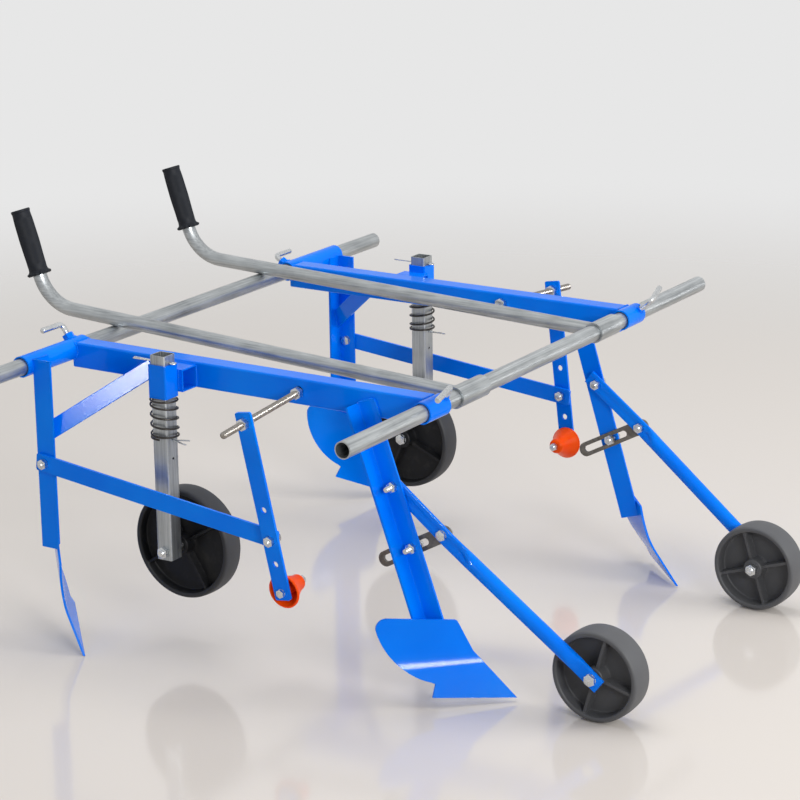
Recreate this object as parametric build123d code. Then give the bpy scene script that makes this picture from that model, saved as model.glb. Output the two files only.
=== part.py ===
from build123d import *
import math
import os

os.makedirs("parts", exist_ok=True)

# Mulch film layer, pushed or pulled by hand.
# Everything below is in millimetres. Lengths along Y are counted from the front cross tube's axis,
# and the finished pieces are moved so that the origin lies under the middle of the machine.
# Each side is drawn with +X pointing outboard, and the left side is then mirrored into place.

# Clear space between pieces that move on each other, and how far the cutting shapes overshoot
side_gap = 0.3
overshoot = 60.0

# Two galvanised cross tubes carry both side frames
tube_radius = 14.25
tube_wall = 2.0
tube_z = 484.0
rear_tube_y = 728.0
front_tube_length = 1200.0
rear_tube_length = 1230.0

# Side beams of rectangular tube with a round sleeve at each end
beam_x = 328.0
beam_z = 476.5
beam_width = 38.0
beam_height = 44.0
beam_wall = 2.5
beam_corner = 4.0
beam_start_y = 16.0
beam_end_y = 720.0
beam_out_x = beam_x + beam_width / 2
sleeve_radius = 18.25
sleeve_bore_radius = 15.5
rear_sleeve_x = (309.0, 475.0)

# L-shaped clamp screws in nuts that are welded on the sleeves; each nut as flats and height
screw_radius = 5.0
screw_bore_radius = 5.4
screw_bend = 8.0
weld_sink = 2.5
front_screw_nut = (14.0, 4.0)
rear_screw_nut = (18.0, 9.0)

# Handles that turn on the front tube and lie on the rear one
handle_x = 221.0
handle_radius = 12.5
handle_wall = 2.0
handle_sleeve_radius = 18.0
handle_sleeve_bore = 14.65
handle_sleeve_start = 190.0
handle_rest_gap = 0.3
handle_bend_y = 874.0
handle_bend_radius = 79.0
grip_angle = 71.5
grip_start = 54.5
grip_length = 120.0
grip_radius = 17.5
grip_guard_radius = 22.5
grip_guard_length = 6.5
grip_cap = 5.0

# Steel angle used for the rear legs and the plough legs
angle_width = 36.0
angle_thickness = 4.0
leg_out_x = 463.0
leg_front_y = 676.0
leg_bottom_z = 166.0
brace_thickness = 5.0
brace_width = 30.0
brace_beam_end = (573.0, 463.0)
brace_leg_end = (448.0, 370.0)

# Sprung press wheels on square posts; pin legs as start and end beyond the post's face, and splay
post_x = 404.5
post_y = 484.0
post_width = 30.0
post_wall = 2.0
post_corner = 3.0
post_z = (168.0, 522.5)
guide_width = 36.0
guide_wall = 2.5
guide_corner = 3.5
guide_z = (450.0, 507.0)
spacer_y = (458.0, 510.0)
spacer_z = (456.5, 494.5)
pin_radius = 2.0
pin_head = 10.0
top_pin_z = guide_z[1] + pin_radius + side_gap
low_pin_z = 377.0
spare_pin_z = 345.0
pin_eye = (4.2, 1.4)
pin_leg_radius = 1.3
top_pin_legs = (3.0, 34.0, 1.5)
low_pin_legs = (10.0, 32.0, 6.0)
spring_wire = 3.5
spring_radius = 22.6
spring_turns = 5.5
spring_end_turns = 1.0
spring_end_pitch = 4.2
press_axle_z = 182.0
press_axle_radius = 6.0
press_wheel_x = 352.0
press_wheel_radius = 97.0
press_wheel_width = 42.0
press_hub_half = 26.0
press_spacer_radius = 10.0
press_rib_turn = 58.0

# Film holder: threaded rod, flat arm, link bar and cone on each side; the flank as radius and place
rod_radius = 6.0
rod_y = 252.0
rod_z = 478.0
rod_droop = 5.0
rod_reach = (-28.0, 232.0)
rod_nut = 10.0
rod_nut_off = 1.6
rod_beam_clear = 2.0
rod_arm_clear = 0.4
arm_on_rod = 171.0
arm_lean = 9.1
flat_width = 30.0
flat_thickness = 5.0
flat_corner = 4.0
arm_top = 18.0
arm_bottom = 302.0
arm_holes = (147.0, 240.0)
arm_link_hole = 199.0
arm_cone_hole = 289.0
link_leg_y = 694.0
link_leg_z = 318.0
link_leg_end = 17.0
link_clear = 0.8
link_arm_gap = 1.8
link_nut_gap = 1.5
cone_rim_radius = 29.0
cone_nose_radius = 13.5
cone_nose_depth = 4.5
cone_length = 46.0
cone_wall = 3.0
cone_flank = (22.0, 24.0)
cone_gap = 1.0
cone_bolt_radius = 4.0
cone_hole_radius = 4.4
cone_bolt_flats = 13.0

# Plough legs lean forward, with an adjustable front wheel arm bolted to each
plough_leg_top_y = 104.0
plough_leg_reach = (-3.0, 395.0)
pivot_down = 142.0
slot_bolt_down = 246.0
axle_y = -278.0
axle_z = 76.5
arm_bolt_distance = 112.0
arm_tube_radius = 12.5
arm_tube_wall = 2.0
arm_ovality = 0.3
arm_flat_width = 27.0
arm_flat_thickness = 7.0
arm_flat_top = (-20.0, 130.0)
arm_round = (170.0, 388.0)
arm_flat_low = (412.0, 458.0)
slot_bar_width = 26.0
slot_bar_thickness = 5.0
slot_bar_reach = 128.0
slot_range = (34.0, 131.0)
slot_width = 11.6
front_wheel_radius = 76.5
front_wheel_width = 50.0
front_hub_half = 26.5

# Both pairs of wheels are moulded alike: rim, thin web, hub and ribs
wheel_rim_depth = 10.0
wheel_web_half = 4.0
wheel_hub_radius = 17.0
wheel_rib = 6.0
wheel_rib_inset = 4.0

# Plough plates: a flat share below a hollow mouldboard, both from one sheet
plate_thickness = 4.0
share_top = (55.0, -29.0)
board_middle = (98.0, -39.0)
board_top = (142.0, -41.5)
plate_span = (-10.0, 240.0)
plate_depth = (-80.0, 40.0)
plough_yaw = 46.0
blade_yaw = 45.0
blade_turn = 16.0
blade_rake = -6.0
blade_tip = (500.0, 599.0, 0.0)

bolt_radius = 5.0
bolt_hole_radius = 5.4
bolt_flats = 16.0
bolt_head = 6.5
bolt_nut = 8.0
bolt_tail = 4.0
axle_flats = 18.0

# The two sides are not quite mirror images: welded ends, clamp screws and the lean of the plough legs differ.
# A clamp screw's tilt leans it rearward, and its swing turns the arm about the shank.
left = {
    "name": "left",
    "sign": -1,
    "front_sleeve_x": (315.0, 376.0),
    "front_screw": {"x": 323.0, "tilt": -34.0, "reach": 41.0, "arm": 60.0, "swing": 12.0},
    "rear_screw": {"x": 331.0, "tilt": 36.0, "reach": 47.0, "arm": 52.0, "swing": 0.0},
    "handle_sleeve_end": 276.0,
    "handle_start_z": 473.0,
    "rear_leg_top": 497.0,
    "plough_leg_lean": 19.65,
    "leg_bolt_in": 16.0,
    "plough_tip": (303.5, -131.0, 7.0),
    "link_arm_end": 9.5,
    "front_rib_turn": 16.0,
    "bar_outside": False,
    "nuts_outside": True,
}
right = {
    "name": "right",
    "sign": 1,
    "front_sleeve_x": (290.0, 351.0),
    "front_screw": {"x": 337.0, "tilt": -50.0, "reach": 51.0, "arm": 47.0, "swing": -17.0},
    "rear_screw": {"x": 326.0, "tilt": 58.0, "reach": 43.0, "arm": 48.0, "swing": 0.0},
    "handle_sleeve_end": 262.0,
    "handle_start_z": 480.5,
    "rear_leg_top": 487.0,
    "plough_leg_lean": 16.9,
    "leg_bolt_in": 9.0,
    "plough_tip": (303.5, -115.0, 3.0),
    "link_arm_end": 18.0,
    "front_rib_turn": -18.0,
    "bar_outside": True,
    "nuts_outside": False,
}

at_base = (Align.CENTER, Align.CENTER, Align.MIN)


def block(x_range, y_range, z_range):
    """Box between two values on each axis."""
    size = [high - low for low, high in (x_range, y_range, z_range)]
    middle = [(low + high) / 2 for low, high in (x_range, y_range, z_range)]
    return Pos(*middle) * Box(*size)


def rod_between(start, end, radius):
    """Round bar from one point to another."""
    axis = Vector(*end) - Vector(*start)
    return Plane(origin=start, z_dir=axis) * Cylinder(radius, axis.length, align=at_base)


def tube_between(start, end, outer, inner):
    """Round tube from one point to another."""
    return rod_between(start, end, outer) - rod_between(start, end, inner)


def hexagon(start, axis, flats, height, bore=0.0):
    """Hexagonal head, or a nut if it has a bore."""
    outline = RegularPolygon(flats / 2, 6, major_radius=False)
    if bore:
        outline -= Circle(bore)
    return Plane(origin=start, z_dir=axis) * extrude(outline, amount=height)


def bolt(start, axis, grip, radius=bolt_radius, flats=bolt_flats):
    """Bolt through a stack: head before the start, nut after the grip length, a short tail beyond it."""
    axis = Vector(*axis).normalized()
    start = Vector(*start)
    end = start + axis * grip
    shank = rod_between(start - axis, end + axis * (bolt_nut + bolt_tail), radius)
    return shank + hexagon(start, axis * -1, flats, bolt_head) + hexagon(end, axis, flats, bolt_nut)


def angle_bar(length):
    """Steel angle down -Z from the origin: a flange along +Y, and one along +X at its rear end."""
    flange = block((0, angle_thickness), (0, angle_width), (-length, 0))
    rear = block((0, angle_width), (angle_width - angle_thickness, angle_width), (-length, 0))
    return flange + rear


def square_tube(width, height, wall, corner):
    """Section of a rectangular tube with rounded corners."""
    outside = RectangleRounded(width, height, corner)
    return outside - RectangleRounded(width - 2 * wall, height - 2 * wall, corner - wall)


def cross_tube(y, length):
    """Open round tube along X."""
    half = length / 2
    return tube_between((-half, y, tube_z), (half, y, tube_z), tube_radius, tube_radius - tube_wall)


def screw_point(screw, y, distance):
    """Point on a clamp screw's axis, counted from the axis of the tube that it presses on."""
    lean = math.radians(screw["tilt"])
    return Vector(screw["x"], y + distance * math.sin(lean), tube_z + distance * math.cos(lean))


def sleeve(x_range, y, screw, nut):
    """Round sleeve with a nut welded on it for the clamp screw."""
    low, high = x_range
    flats, height = nut
    body = rod_between((low, y, tube_z), (high, y, tube_z), sleeve_radius)
    nut_base = screw_point(screw, y, sleeve_radius - weld_sink)
    axis = nut_base - screw_point(screw, y, 0)
    body += hexagon(nut_base, axis, flats, height + weld_sink)
    body -= rod_between((low, y, tube_z), (high, y, tube_z), sleeve_bore_radius)
    return body - rod_between(screw_point(screw, y, 0), screw_point(screw, y, overshoot), screw_bore_radius)


def clamp_screw(y, screw):
    """Bent screw: a shank that presses on the cross tube, and an arm pointing outboard."""
    lean, swing = (math.radians(screw[angle]) for angle in ("tilt", "swing"))
    foot = screw_point(screw, y, tube_radius + side_gap)
    elbow = screw_point(screw, y, screw["reach"])
    square = Vector(0, -math.cos(lean), math.sin(lean))
    way = Vector(1, 0, 0) * math.cos(swing) + square * math.sin(swing)
    path = FilletPolyline(foot, elbow, elbow + way * screw["arm"], radius=screw_bend)
    return sweep(Plane(origin=foot, z_dir=elbow - foot) * Circle(screw_radius), path=path)


def side_beam():
    """Rectangular tube, coped round both sleeves, with holes for the film rod."""
    start = Plane(origin=(beam_x, beam_start_y, beam_z), x_dir=(1, 0, 0), z_dir=(0, 1, 0))
    section = square_tube(beam_width, beam_height, beam_wall, beam_corner)
    beam = start * extrude(section, amount=beam_end_y - beam_start_y)
    low, high = beam_x - overshoot, beam_x + overshoot
    for y in (0, rear_tube_y):
        beam -= rod_between((low, y, tube_z), (high, y, tube_z), sleeve_radius)
    return beam - rod_between((low, rod_y, rod_z), (high, rod_y, rod_z), rod_radius + rod_beam_clear)


def handle_line(side):
    """Start, bend corner and top end of the handle tube's axis, which rests on the rear cross tube."""
    start_z = side["handle_start_z"]
    rest_z = tube_z + tube_radius + handle_radius + handle_rest_gap
    slope = (rest_z - start_z) / rear_tube_y
    corner_z = start_z + slope * handle_bend_y
    reach = grip_start + grip_length - grip_cap
    top_y = handle_bend_y + reach * math.cos(math.radians(grip_angle))
    top_z = corner_z + reach * math.sin(math.radians(grip_angle))
    return (
        Vector(handle_x, handle_sleeve_radius / 2, start_z),
        Vector(handle_x, handle_bend_y, corner_z),
        Vector(handle_x, top_y, top_z),
    )


def handle_tube(side):
    """Tube bent upwards at its rear end, welded to the back of its sleeve."""
    start, corner, top = handle_line(side)
    path = FilletPolyline(start, corner, top, radius=handle_bend_radius)
    ring = Circle(handle_radius) - Circle(handle_radius - handle_wall)
    tube = sweep(Plane(origin=start, z_dir=corner - start) * ring, path=path)
    low, high = handle_x - overshoot, handle_x + overshoot
    return tube - rod_between((low, 0, tube_z), (high, 0, tube_z), handle_sleeve_radius)


def handle_sleeve(side):
    """Short galvanised tube that turns on the front cross tube."""
    start, end = (handle_sleeve_start, 0, tube_z), (side["handle_sleeve_end"], 0, tube_z)
    return tube_between(start, end, handle_sleeve_radius, handle_sleeve_bore)


def grip(side):
    """Rubber grip: guard flange, slightly waisted body and a closed rounded top."""
    _, corner, top = handle_line(side)
    axis = (top - corner).normalized()
    base = corner + axis * grip_start
    waist = grip_radius - 1.2
    outline = make_face(
        [
            Line((handle_radius, 0), (grip_guard_radius - 2, 0)),
            ThreePointArc(
                (grip_guard_radius - 2, 0),
                (grip_guard_radius, grip_guard_length / 2),
                (grip_guard_radius - 2, grip_guard_length),
            ),
            Line((grip_guard_radius - 2, grip_guard_length), (waist + 0.6, grip_guard_length + 4)),
            ThreePointArc(
                (waist + 0.6, grip_guard_length + 4),
                (grip_radius, grip_length * 0.55),
                (waist + 0.4, grip_length - 5),
            ),
            ThreePointArc(
                (waist + 0.4, grip_length - 5), (waist - 1.2, grip_length - 1.4), (waist - 4.6, grip_length)
            ),
            Line((waist - 4.6, grip_length), (0, grip_length)),
            Line((0, grip_length), (0, grip_length - grip_cap)),
            Line((0, grip_length - grip_cap), (handle_radius, grip_length - grip_cap)),
            Line((handle_radius, grip_length - grip_cap), (handle_radius, 0)),
        ]
    )
    upright = revolve(Plane.XZ * outline, Axis.Z)
    return Plane(origin=base, z_dir=axis) * upright


def sheet_line(offset):
    """Line of the sheet in (height, depth), moved back by an offset: share, then hollow mouldboard."""
    edge, crease, middle, top = (
        (height, depth - offset) for height, depth in ((0.0, 0.0), share_top, board_middle, board_top)
    )
    return [Line(edge, crease), ThreePointArc(crease, middle, top)]


def sheet_section():
    """Closed section of the plough sheet."""
    front = sheet_line(0)
    back = sheet_line(plate_thickness)
    return make_face([*front, *back, Line(front[0] @ 0, back[0] @ 0), Line(front[1] @ 1, back[1] @ 1)])


def sheet_front():
    """Everything in front of the back of the plough sheet, used to trim the leg behind it."""
    back = sheet_line(plate_thickness)
    start = back[0] @ 0
    end = back[1] @ 1
    below = start.X - overshoot
    ahead = start.Y + 3 * overshoot
    border = Polyline(end, (end.X, ahead), (below, ahead), (below, start.Y), start)
    first, last = plate_span
    return along_edge(make_face([*back, border]), first - overshoot, last + overshoot)


def along_edge(section, start, end):
    """Extrude a (height, depth) section along the share's edge, which is local X."""
    upright = Plane(origin=(start, 0, 0), x_dir=(0, 1, 0), z_dir=(1, 0, 0)) * section
    return extrude(upright, amount=end - start, dir=(1, 0, 0))


def plough_plate():
    """Plough sheet in its own frame: tip at the origin, edge along +X, up +Y, front face towards +Z."""
    outline = make_face(
        [
            Polyline((85, 121), (63, 74), (0, 0), (139, 12), (131, 32)),
            ThreePointArc((131, 32), (193, 67), (222, 121)),
            ThreePointArc((222, 121), (217, 135), (204, 139.5)),
            Line((204, 139.5), (91, 127)),
            ThreePointArc((91, 127), (87.2, 125), (85, 121)),
        ]
    )
    rear, front = plate_depth
    prism = Pos(0, 0, rear) * extrude(outline, amount=front - rear)
    return along_edge(sheet_section(), *plate_span) & prism


def plough_plane(side):
    """Frame of the front plough: its edge runs back and outboard from the tip."""
    yaw = math.radians(plough_yaw)
    edge = (math.sin(yaw), math.cos(yaw), 0)
    face = (math.cos(yaw), -math.sin(yaw), 0)
    return Plane(origin=side["plough_tip"], x_dir=edge, z_dir=face)


def blade_plane():
    """Frame of the rear blade on the opposite side: edge running back and inboard, turned and raked."""
    yaw, turn, rake = (math.radians(value) for value in (blade_yaw, blade_turn, blade_rake))
    up = Vector(0, 0, 1)
    along = Vector(math.sin(yaw), math.cos(yaw), 0)
    ahead = Vector(math.cos(yaw), -math.sin(yaw), 0)
    rise = up * math.cos(rake) - ahead * math.sin(rake)
    face = ahead * math.cos(rake) + up * math.sin(rake)
    edge = along * math.cos(turn) + rise * math.sin(turn)
    tip_x, tip_y, tip_z = blade_tip
    return Plane(origin=(-tip_x, tip_y, tip_z), x_dir=edge, z_dir=face)


def plough(side):
    return plough_plane(side) * plough_plate()


def cover_blade():
    return mirror(blade_plane() * plough_plate(), about=Plane.YZ)


def rear_leg(side):
    """Upright angle welded to the front of the rear sleeve, with the covering blade on its toes."""
    top = side["rear_leg_top"]
    leg = Pos(leg_out_x, leg_front_y, top) * mirror(angle_bar(top - leg_bottom_z), about=Plane.YZ)
    low, high = rear_sleeve_x
    leg -= rod_between((low, rear_tube_y, tube_z), (high, rear_tube_y, tube_z), sleeve_radius)
    bolt_start = (leg_out_x - angle_width / 2, link_leg_y, link_leg_z)
    leg -= rod_between(bolt_start, (leg_out_x + overshoot, link_leg_y, link_leg_z), bolt_hole_radius)
    return leg - mirror(blade_plane() * sheet_front(), about=Plane.YZ)


def leg_brace():
    """Flat bar on edge from the side beam back and outboard to the rear leg."""
    beam_end = Vector(beam_out_x, *brace_beam_end)
    leg_end = Vector(brace_leg_end[0], leg_front_y + angle_width - angle_thickness, brace_leg_end[1])
    along = (leg_end - beam_end).normalized()
    side = along.cross(Vector(0, 0, 1)).normalized()
    reach = (leg_end - beam_end).length
    plane = Plane(origin=beam_end, x_dir=along, z_dir=side)
    bar = plane * Pos(reach / 2, 0, 0) * Box(reach + 2 * overshoot, brace_width, brace_thickness)
    within = block((beam_out_x, leg_out_x), (beam_start_y, leg_end.Y), (leg_bottom_z, tube_z))
    return bar & within


def post_guide():
    """Square guide tube, carried on a short piece of beam tube."""
    section = square_tube(guide_width, guide_width, guide_wall, guide_corner)
    guide = Pos(post_x, post_y, guide_z[0]) * extrude(section, amount=guide_z[1] - guide_z[0])
    inner_x = post_x - guide_width / 2
    spacer = block((beam_out_x, inner_x), spacer_y, spacer_z)
    spacer -= block(
        (beam_out_x + beam_wall, inner_x - beam_wall),
        (spacer_y[0] - overshoot, spacer_y[1] + overshoot),
        (spacer_z[0] + beam_wall, spacer_z[1] - beam_wall),
    )
    return guide + spacer


def press_post():
    """Square tube that slides in the guide, with holes for the split pins and the axle."""
    section = square_tube(post_width, post_width, post_wall, post_corner)
    post = Pos(post_x, post_y, post_z[0]) * extrude(section, amount=post_z[1] - post_z[0])
    front, rear = post_y - post_width, post_y + post_width
    for z in (top_pin_z, low_pin_z, spare_pin_z):
        post -= rod_between((post_x, front, z), (post_x, rear, z), pin_radius + side_gap)
    inner, outer = post_x - post_width, post_x + post_width
    axle_ends = ((inner, post_y, press_axle_z), (outer, post_y, press_axle_z))
    return post - rod_between(*axle_ends, press_axle_radius + side_gap)


def split_pin(z, way, legs):
    """Split pin through the post: an eye on one side, and two legs on the side that its way points to."""
    split, tail, splay = legs
    eye, wire = pin_eye
    face = post_width / 2
    head = post_y - way * (face + pin_head)
    fork = post_y + way * (face + split)
    pin = rod_between((post_x, head + way * wire, z), (post_x, fork + way * wire, z), pin_radius)
    pin += Pos(post_x, head - way * (eye - wire), z) * Torus(eye, wire)
    for bend in (-1, 1):
        tip = (post_x + bend * splay, post_y + way * (face + tail), z)
        pin += rod_between((post_x, fork, z), tip, pin_leg_radius)
    return pin


def post_pins():
    """Pin above the guide with its legs to the rear, and pin below the spring with its legs to the front."""
    return Compound([split_pin(top_pin_z, 1, top_pin_legs), split_pin(low_pin_z, -1, low_pin_legs)])


def helix_points(bottom, top):
    """Points and tangents of the spring every half turn, with closed end turns and an open middle."""
    middle_turns = spring_turns - 2 * spring_end_turns
    middle_pitch = (top - bottom - 2 * spring_end_turns * spring_end_pitch) / middle_turns
    height = bottom
    knots = []
    steps = int(spring_turns * 2)
    for step in range(steps + 1):
        turn = step / 2
        closed = turn < spring_end_turns or turn >= spring_turns - spring_end_turns
        pitch = spring_end_pitch if closed else middle_pitch
        before = turn - 0.5 < spring_end_turns or turn > spring_turns - spring_end_turns
        slope = ((spring_end_pitch if before else middle_pitch) + pitch) / 2
        angle = 2 * math.pi * turn
        point = Vector(spring_radius * math.cos(angle), spring_radius * math.sin(angle), height)
        rise = slope / (2 * math.pi * spring_radius)
        knots.append((point, Vector(-math.sin(angle), math.cos(angle), rise).normalized()))
        height += pitch / 2
    return knots


def biarc(start, start_way, end, end_way):
    """Two arcs that join two points with given tangents."""
    chord = end - start
    ways = start_way + end_way
    bend = 2 * (1 - start_way.dot(end_way))
    along = chord.dot(ways)
    reach = (math.sqrt(along * along + bend * chord.dot(chord)) - along) / bend
    first = start + start_way * reach
    second = end - end_way * reach
    middle = (first + second) * 0.5
    return [
        TangentArc(start, middle, tangent=start_way),
        TangentArc(middle, end, tangent=(second - first).normalized()),
    ]


def press_spring():
    """Open coil round the post, between the guide and the lower split pin."""
    bottom = low_pin_z + pin_radius + side_gap + spring_wire / 2
    top = guide_z[0] - side_gap - spring_wire / 2
    knots = helix_points(bottom, top)
    first, first_way = knots[0]
    last, last_way = knots[-1]
    edges = [Line(first - first_way * spring_wire, first)]
    for (start, start_way), (end, end_way) in zip(knots, knots[1:]):
        edges += biarc(start, start_way, end, end_way)
    edges.append(Line(last, last + last_way * spring_wire))
    path = Wire(edges)
    print("spring self gap", round(least_gap(path), 2))
    section = Plane(origin=first - first_way * spring_wire, z_dir=first_way) * Circle(spring_wire / 2)
    return Pos(post_x, post_y, 0) * sweep(section, path=path)


def least_gap(path):
    """Smallest clear distance between one stretch of the wire and another, measured on points."""
    count = 240
    points = [path.position_at(step / count) for step in range(count + 1)]
    spacing = path.length / count
    apart = int(math.pi * spring_radius / spacing)
    gaps = [
        (points[low] - points[high]).length
        for low in range(count + 1)
        for high in range(low + apart, count + 1)
    ]
    return min(gaps) - spring_wire


def wheel(radius, width, hub_half, bore, rib_turn):
    """Moulded wheel about X: crowned tread, thin web, hub and four ribs on each face."""
    half = width / 2
    rim = radius - wheel_rim_depth
    web = wheel_web_half
    hub = wheel_hub_radius
    outline = make_face(
        [
            Line((bore, -hub_half), (hub, -hub_half)),
            Line((hub, -hub_half), (hub + 1.5, -web)),
            Line((hub + 1.5, -web), (rim - 2, -web)),
            Line((rim - 2, -web), (rim, -half)),
            Line((rim, -half), (radius - 4.5, -half)),
            ThreePointArc((radius - 4.5, -half), (radius - 2.6, -half + 0.9), (radius - 1.6, -half + 3)),
            ThreePointArc((radius - 1.6, -half + 3), (radius, 0), (radius - 1.6, half - 3)),
            ThreePointArc((radius - 1.6, half - 3), (radius - 2.6, half - 0.9), (radius - 4.5, half)),
            Line((radius - 4.5, half), (rim, half)),
            Line((rim, half), (rim - 2, web)),
            Line((rim - 2, web), (hub + 1.5, web)),
            Line((hub + 1.5, web), (hub, hub_half)),
            Line((hub, hub_half), (bore, hub_half)),
            Line((bore, hub_half), (bore, -hub_half)),
        ]
    )
    body = revolve(Plane.XZ * outline, Axis.Z)
    rib = Pos((hub + rim) / 2, 0, 0) * Box(rim - hub, wheel_rib, width - 2 * wheel_rib_inset)
    for step in range(4):
        body += Rot(Z=rib_turn + 90 * step) * rib
    return Rot(Y=90) * body


def press_wheel():
    bore = press_axle_radius + side_gap
    body = wheel(press_wheel_radius, press_wheel_width, press_hub_half, bore, press_rib_turn)
    return Pos(press_wheel_x, post_y, press_axle_z) * body


def press_axle_bolt():
    """Axle bolt through post and wheel: nut outboard, spacer tube between them, head inboard."""
    near, far = post_x - post_width / 2, post_x + post_width / 2
    hub_in = press_wheel_x - press_hub_half - side_gap
    hub_out = press_wheel_x + press_hub_half + side_gap
    start = (hub_in, post_y, press_axle_z)
    axle = bolt(start, (1, 0, 0), far - hub_in, radius=press_axle_radius, flats=axle_flats)
    spacer = ((hub_out, post_y, press_axle_z), (near, post_y, press_axle_z))
    return axle + rod_between(*spacer, press_spacer_radius)


def rod_axis():
    """Direction of the drooping film rod, outboard."""
    droop = math.radians(rod_droop)
    return Vector(math.cos(droop), 0, -math.sin(droop))


def arm_down():
    """Direction down the film arm: square to the rod and leaning forward."""
    droop, lean = math.radians(rod_droop), math.radians(arm_lean)
    hang = Vector(-math.sin(droop), 0, -math.cos(droop))
    return hang * math.cos(lean) + Vector(0, -1, 0) * math.sin(lean)


def on_rod(distance):
    """Point on the film rod, counted outboard from the beam's middle."""
    return Vector(beam_x, rod_y, rod_z) + rod_axis() * distance


def film_rod():
    return rod_between(on_rod(rod_reach[0]), on_rod(rod_reach[1]), rod_radius)


def film_arm():
    """Flat bar hanging from the rod, with a row of holes."""
    plane = Plane(origin=on_rod(arm_on_rod), x_dir=arm_down(), z_dir=rod_axis())
    outline = RectangleRounded(arm_bottom + arm_top, flat_width, flat_corner)
    outline = Pos((arm_bottom - arm_top) / 2, 0) * outline
    outline -= Circle(rod_radius + rod_arm_clear)
    for hole in (*arm_holes, arm_link_hole):
        outline -= Pos(hole, 0) * Circle(bolt_hole_radius)
    outline -= Pos(arm_cone_hole, 0) * Circle(cone_hole_radius)
    return plane * extrude(outline, amount=flat_thickness / 2, both=True)


def link_ends():
    """Middle of the link bar's thickness at its leg bolt and at its arm bolt."""
    leg_end = Vector(leg_out_x + flat_thickness / 2 + link_clear, link_leg_y, link_leg_z)
    on_arm = on_rod(arm_on_rod) + arm_down() * arm_link_hole
    return leg_end, on_arm - rod_axis() * (flat_thickness + link_arm_gap)


def link_bar(side):
    """Flat bar that holds the lower arm back to the rear leg."""
    leg_end, arm_end = link_ends()
    along = (arm_end - leg_end).normalized()
    flat = Vector(1, 0, 0) - along * along.X
    length = (arm_end - leg_end).length
    past_arm = side["link_arm_end"]
    outline = RectangleRounded(link_leg_end + length + past_arm, flat_width, flat_corner)
    outline = Pos((length + past_arm - link_leg_end) / 2, 0) * outline
    for hole in (0, length):
        outline -= Pos(hole, 0) * Circle(bolt_hole_radius)
    plane = Plane(origin=leg_end, x_dir=along, z_dir=flat)
    return plane * extrude(outline, amount=flat_thickness / 2, both=True)


def film_cone():
    """Hollow bell that enters the film roll's core: wide rim beside the arm, rounded nose inboard."""
    rim, nose, hole = cone_rim_radius, cone_nose_radius, cone_hole_radius
    wall = cone_wall
    flank, flank_at = cone_flank
    shoulder = cone_length - cone_nose_depth
    dome = (nose * 0.8 + hole * 0.2, cone_length - cone_nose_depth * 0.25)
    outline = make_face(
        [
            Line((rim, 0), (rim, 3)),
            Line((rim, 3), (rim - 2, 4)),
            ThreePointArc((rim - 2, 4), cone_flank, (nose, shoulder)),
            ThreePointArc((nose, shoulder), dome, (hole + wall, cone_length)),
            Line((hole + wall, cone_length), (hole, cone_length)),
            Line((hole, cone_length), (hole, 2)),
            Line((hole, 2), (hole + wall, 2)),
            Line((hole + wall, 2), (hole + wall, shoulder)),
            ThreePointArc((hole + wall, shoulder), (flank - wall, flank_at - 2), (rim - wall, 2)),
            Line((rim - wall, 2), (rim - wall, 0)),
            Line((rim - wall, 0), (rim, 0)),
        ]
    )
    bell = revolve(Plane.XZ * outline, Axis.Z)
    return Plane(origin=cone_base(), z_dir=rod_axis() * -1) * bell


def cone_base():
    """Middle of the cone's rim, just inboard of the arm."""
    on_arm = on_rod(arm_on_rod) + arm_down() * arm_cone_hole
    return on_arm - rod_axis() * (flat_thickness / 2 + cone_gap)


def cone_bolt():
    """Bolt from the arm's outer face through the cone, with a nut at the nose."""
    start = on_rod(arm_on_rod) + arm_down() * arm_cone_hole + rod_axis() * (flat_thickness / 2)
    grip_to_nose = flat_thickness + cone_gap + cone_length + side_gap
    return bolt(start, rod_axis() * -1, grip_to_nose, radius=cone_bolt_radius, flats=cone_bolt_flats)


def on_leg(side, down, x):
    """Point on the bolt line of the plough leg, at a place across the machine."""
    lean = math.radians(side["plough_leg_lean"])
    bolt_in = side["leg_bolt_in"]
    y = plough_leg_top_y - down * math.sin(lean) + bolt_in * math.cos(lean)
    z = tube_z - down * math.cos(lean) - bolt_in * math.sin(lean)
    return Vector(x, y, z)


def plough_leg(side):
    """Angle leaning forward on the beam's outer face, cut to sit on the back of the plough sheet."""
    top, bottom = plough_leg_reach
    leg = Rot(X=-side["plough_leg_lean"]) * Pos(0, 0, -top) * angle_bar(bottom - top)
    leg = Pos(beam_out_x, plough_leg_top_y, tube_z) * leg
    inner, outer = beam_out_x - angle_width, beam_out_x + angle_width / 2
    for down in (pivot_down, slot_bolt_down):
        leg -= rod_between(on_leg(side, down, inner), on_leg(side, down, outer), bolt_hole_radius)
    return leg - plough_plane(side) * sheet_front()


def wheel_arm_stack(side):
    """Places across the machine: middle of the arm's upper flat, of the slot bar and of the lower flat."""
    bar_first = side["bar_outside"]
    outer = beam_out_x - side_gap
    if bar_first:
        bar = outer - slot_bar_thickness / 2
        flat = outer - slot_bar_thickness - side_gap - arm_flat_thickness / 2
    else:
        flat = outer - arm_flat_thickness / 2
        bar = outer - arm_flat_thickness - side_gap - slot_bar_thickness / 2
    offset = arm_tube_radius - arm_flat_thickness / 2
    return flat, bar, flat - 2 * offset


def arm_way(side):
    """Unit vector from the arm's pivot to the front axle, in the YZ plane."""
    pivot = on_leg(side, pivot_down, 0)
    return (Vector(0, axle_y, axle_z) - pivot).normalized()


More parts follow.
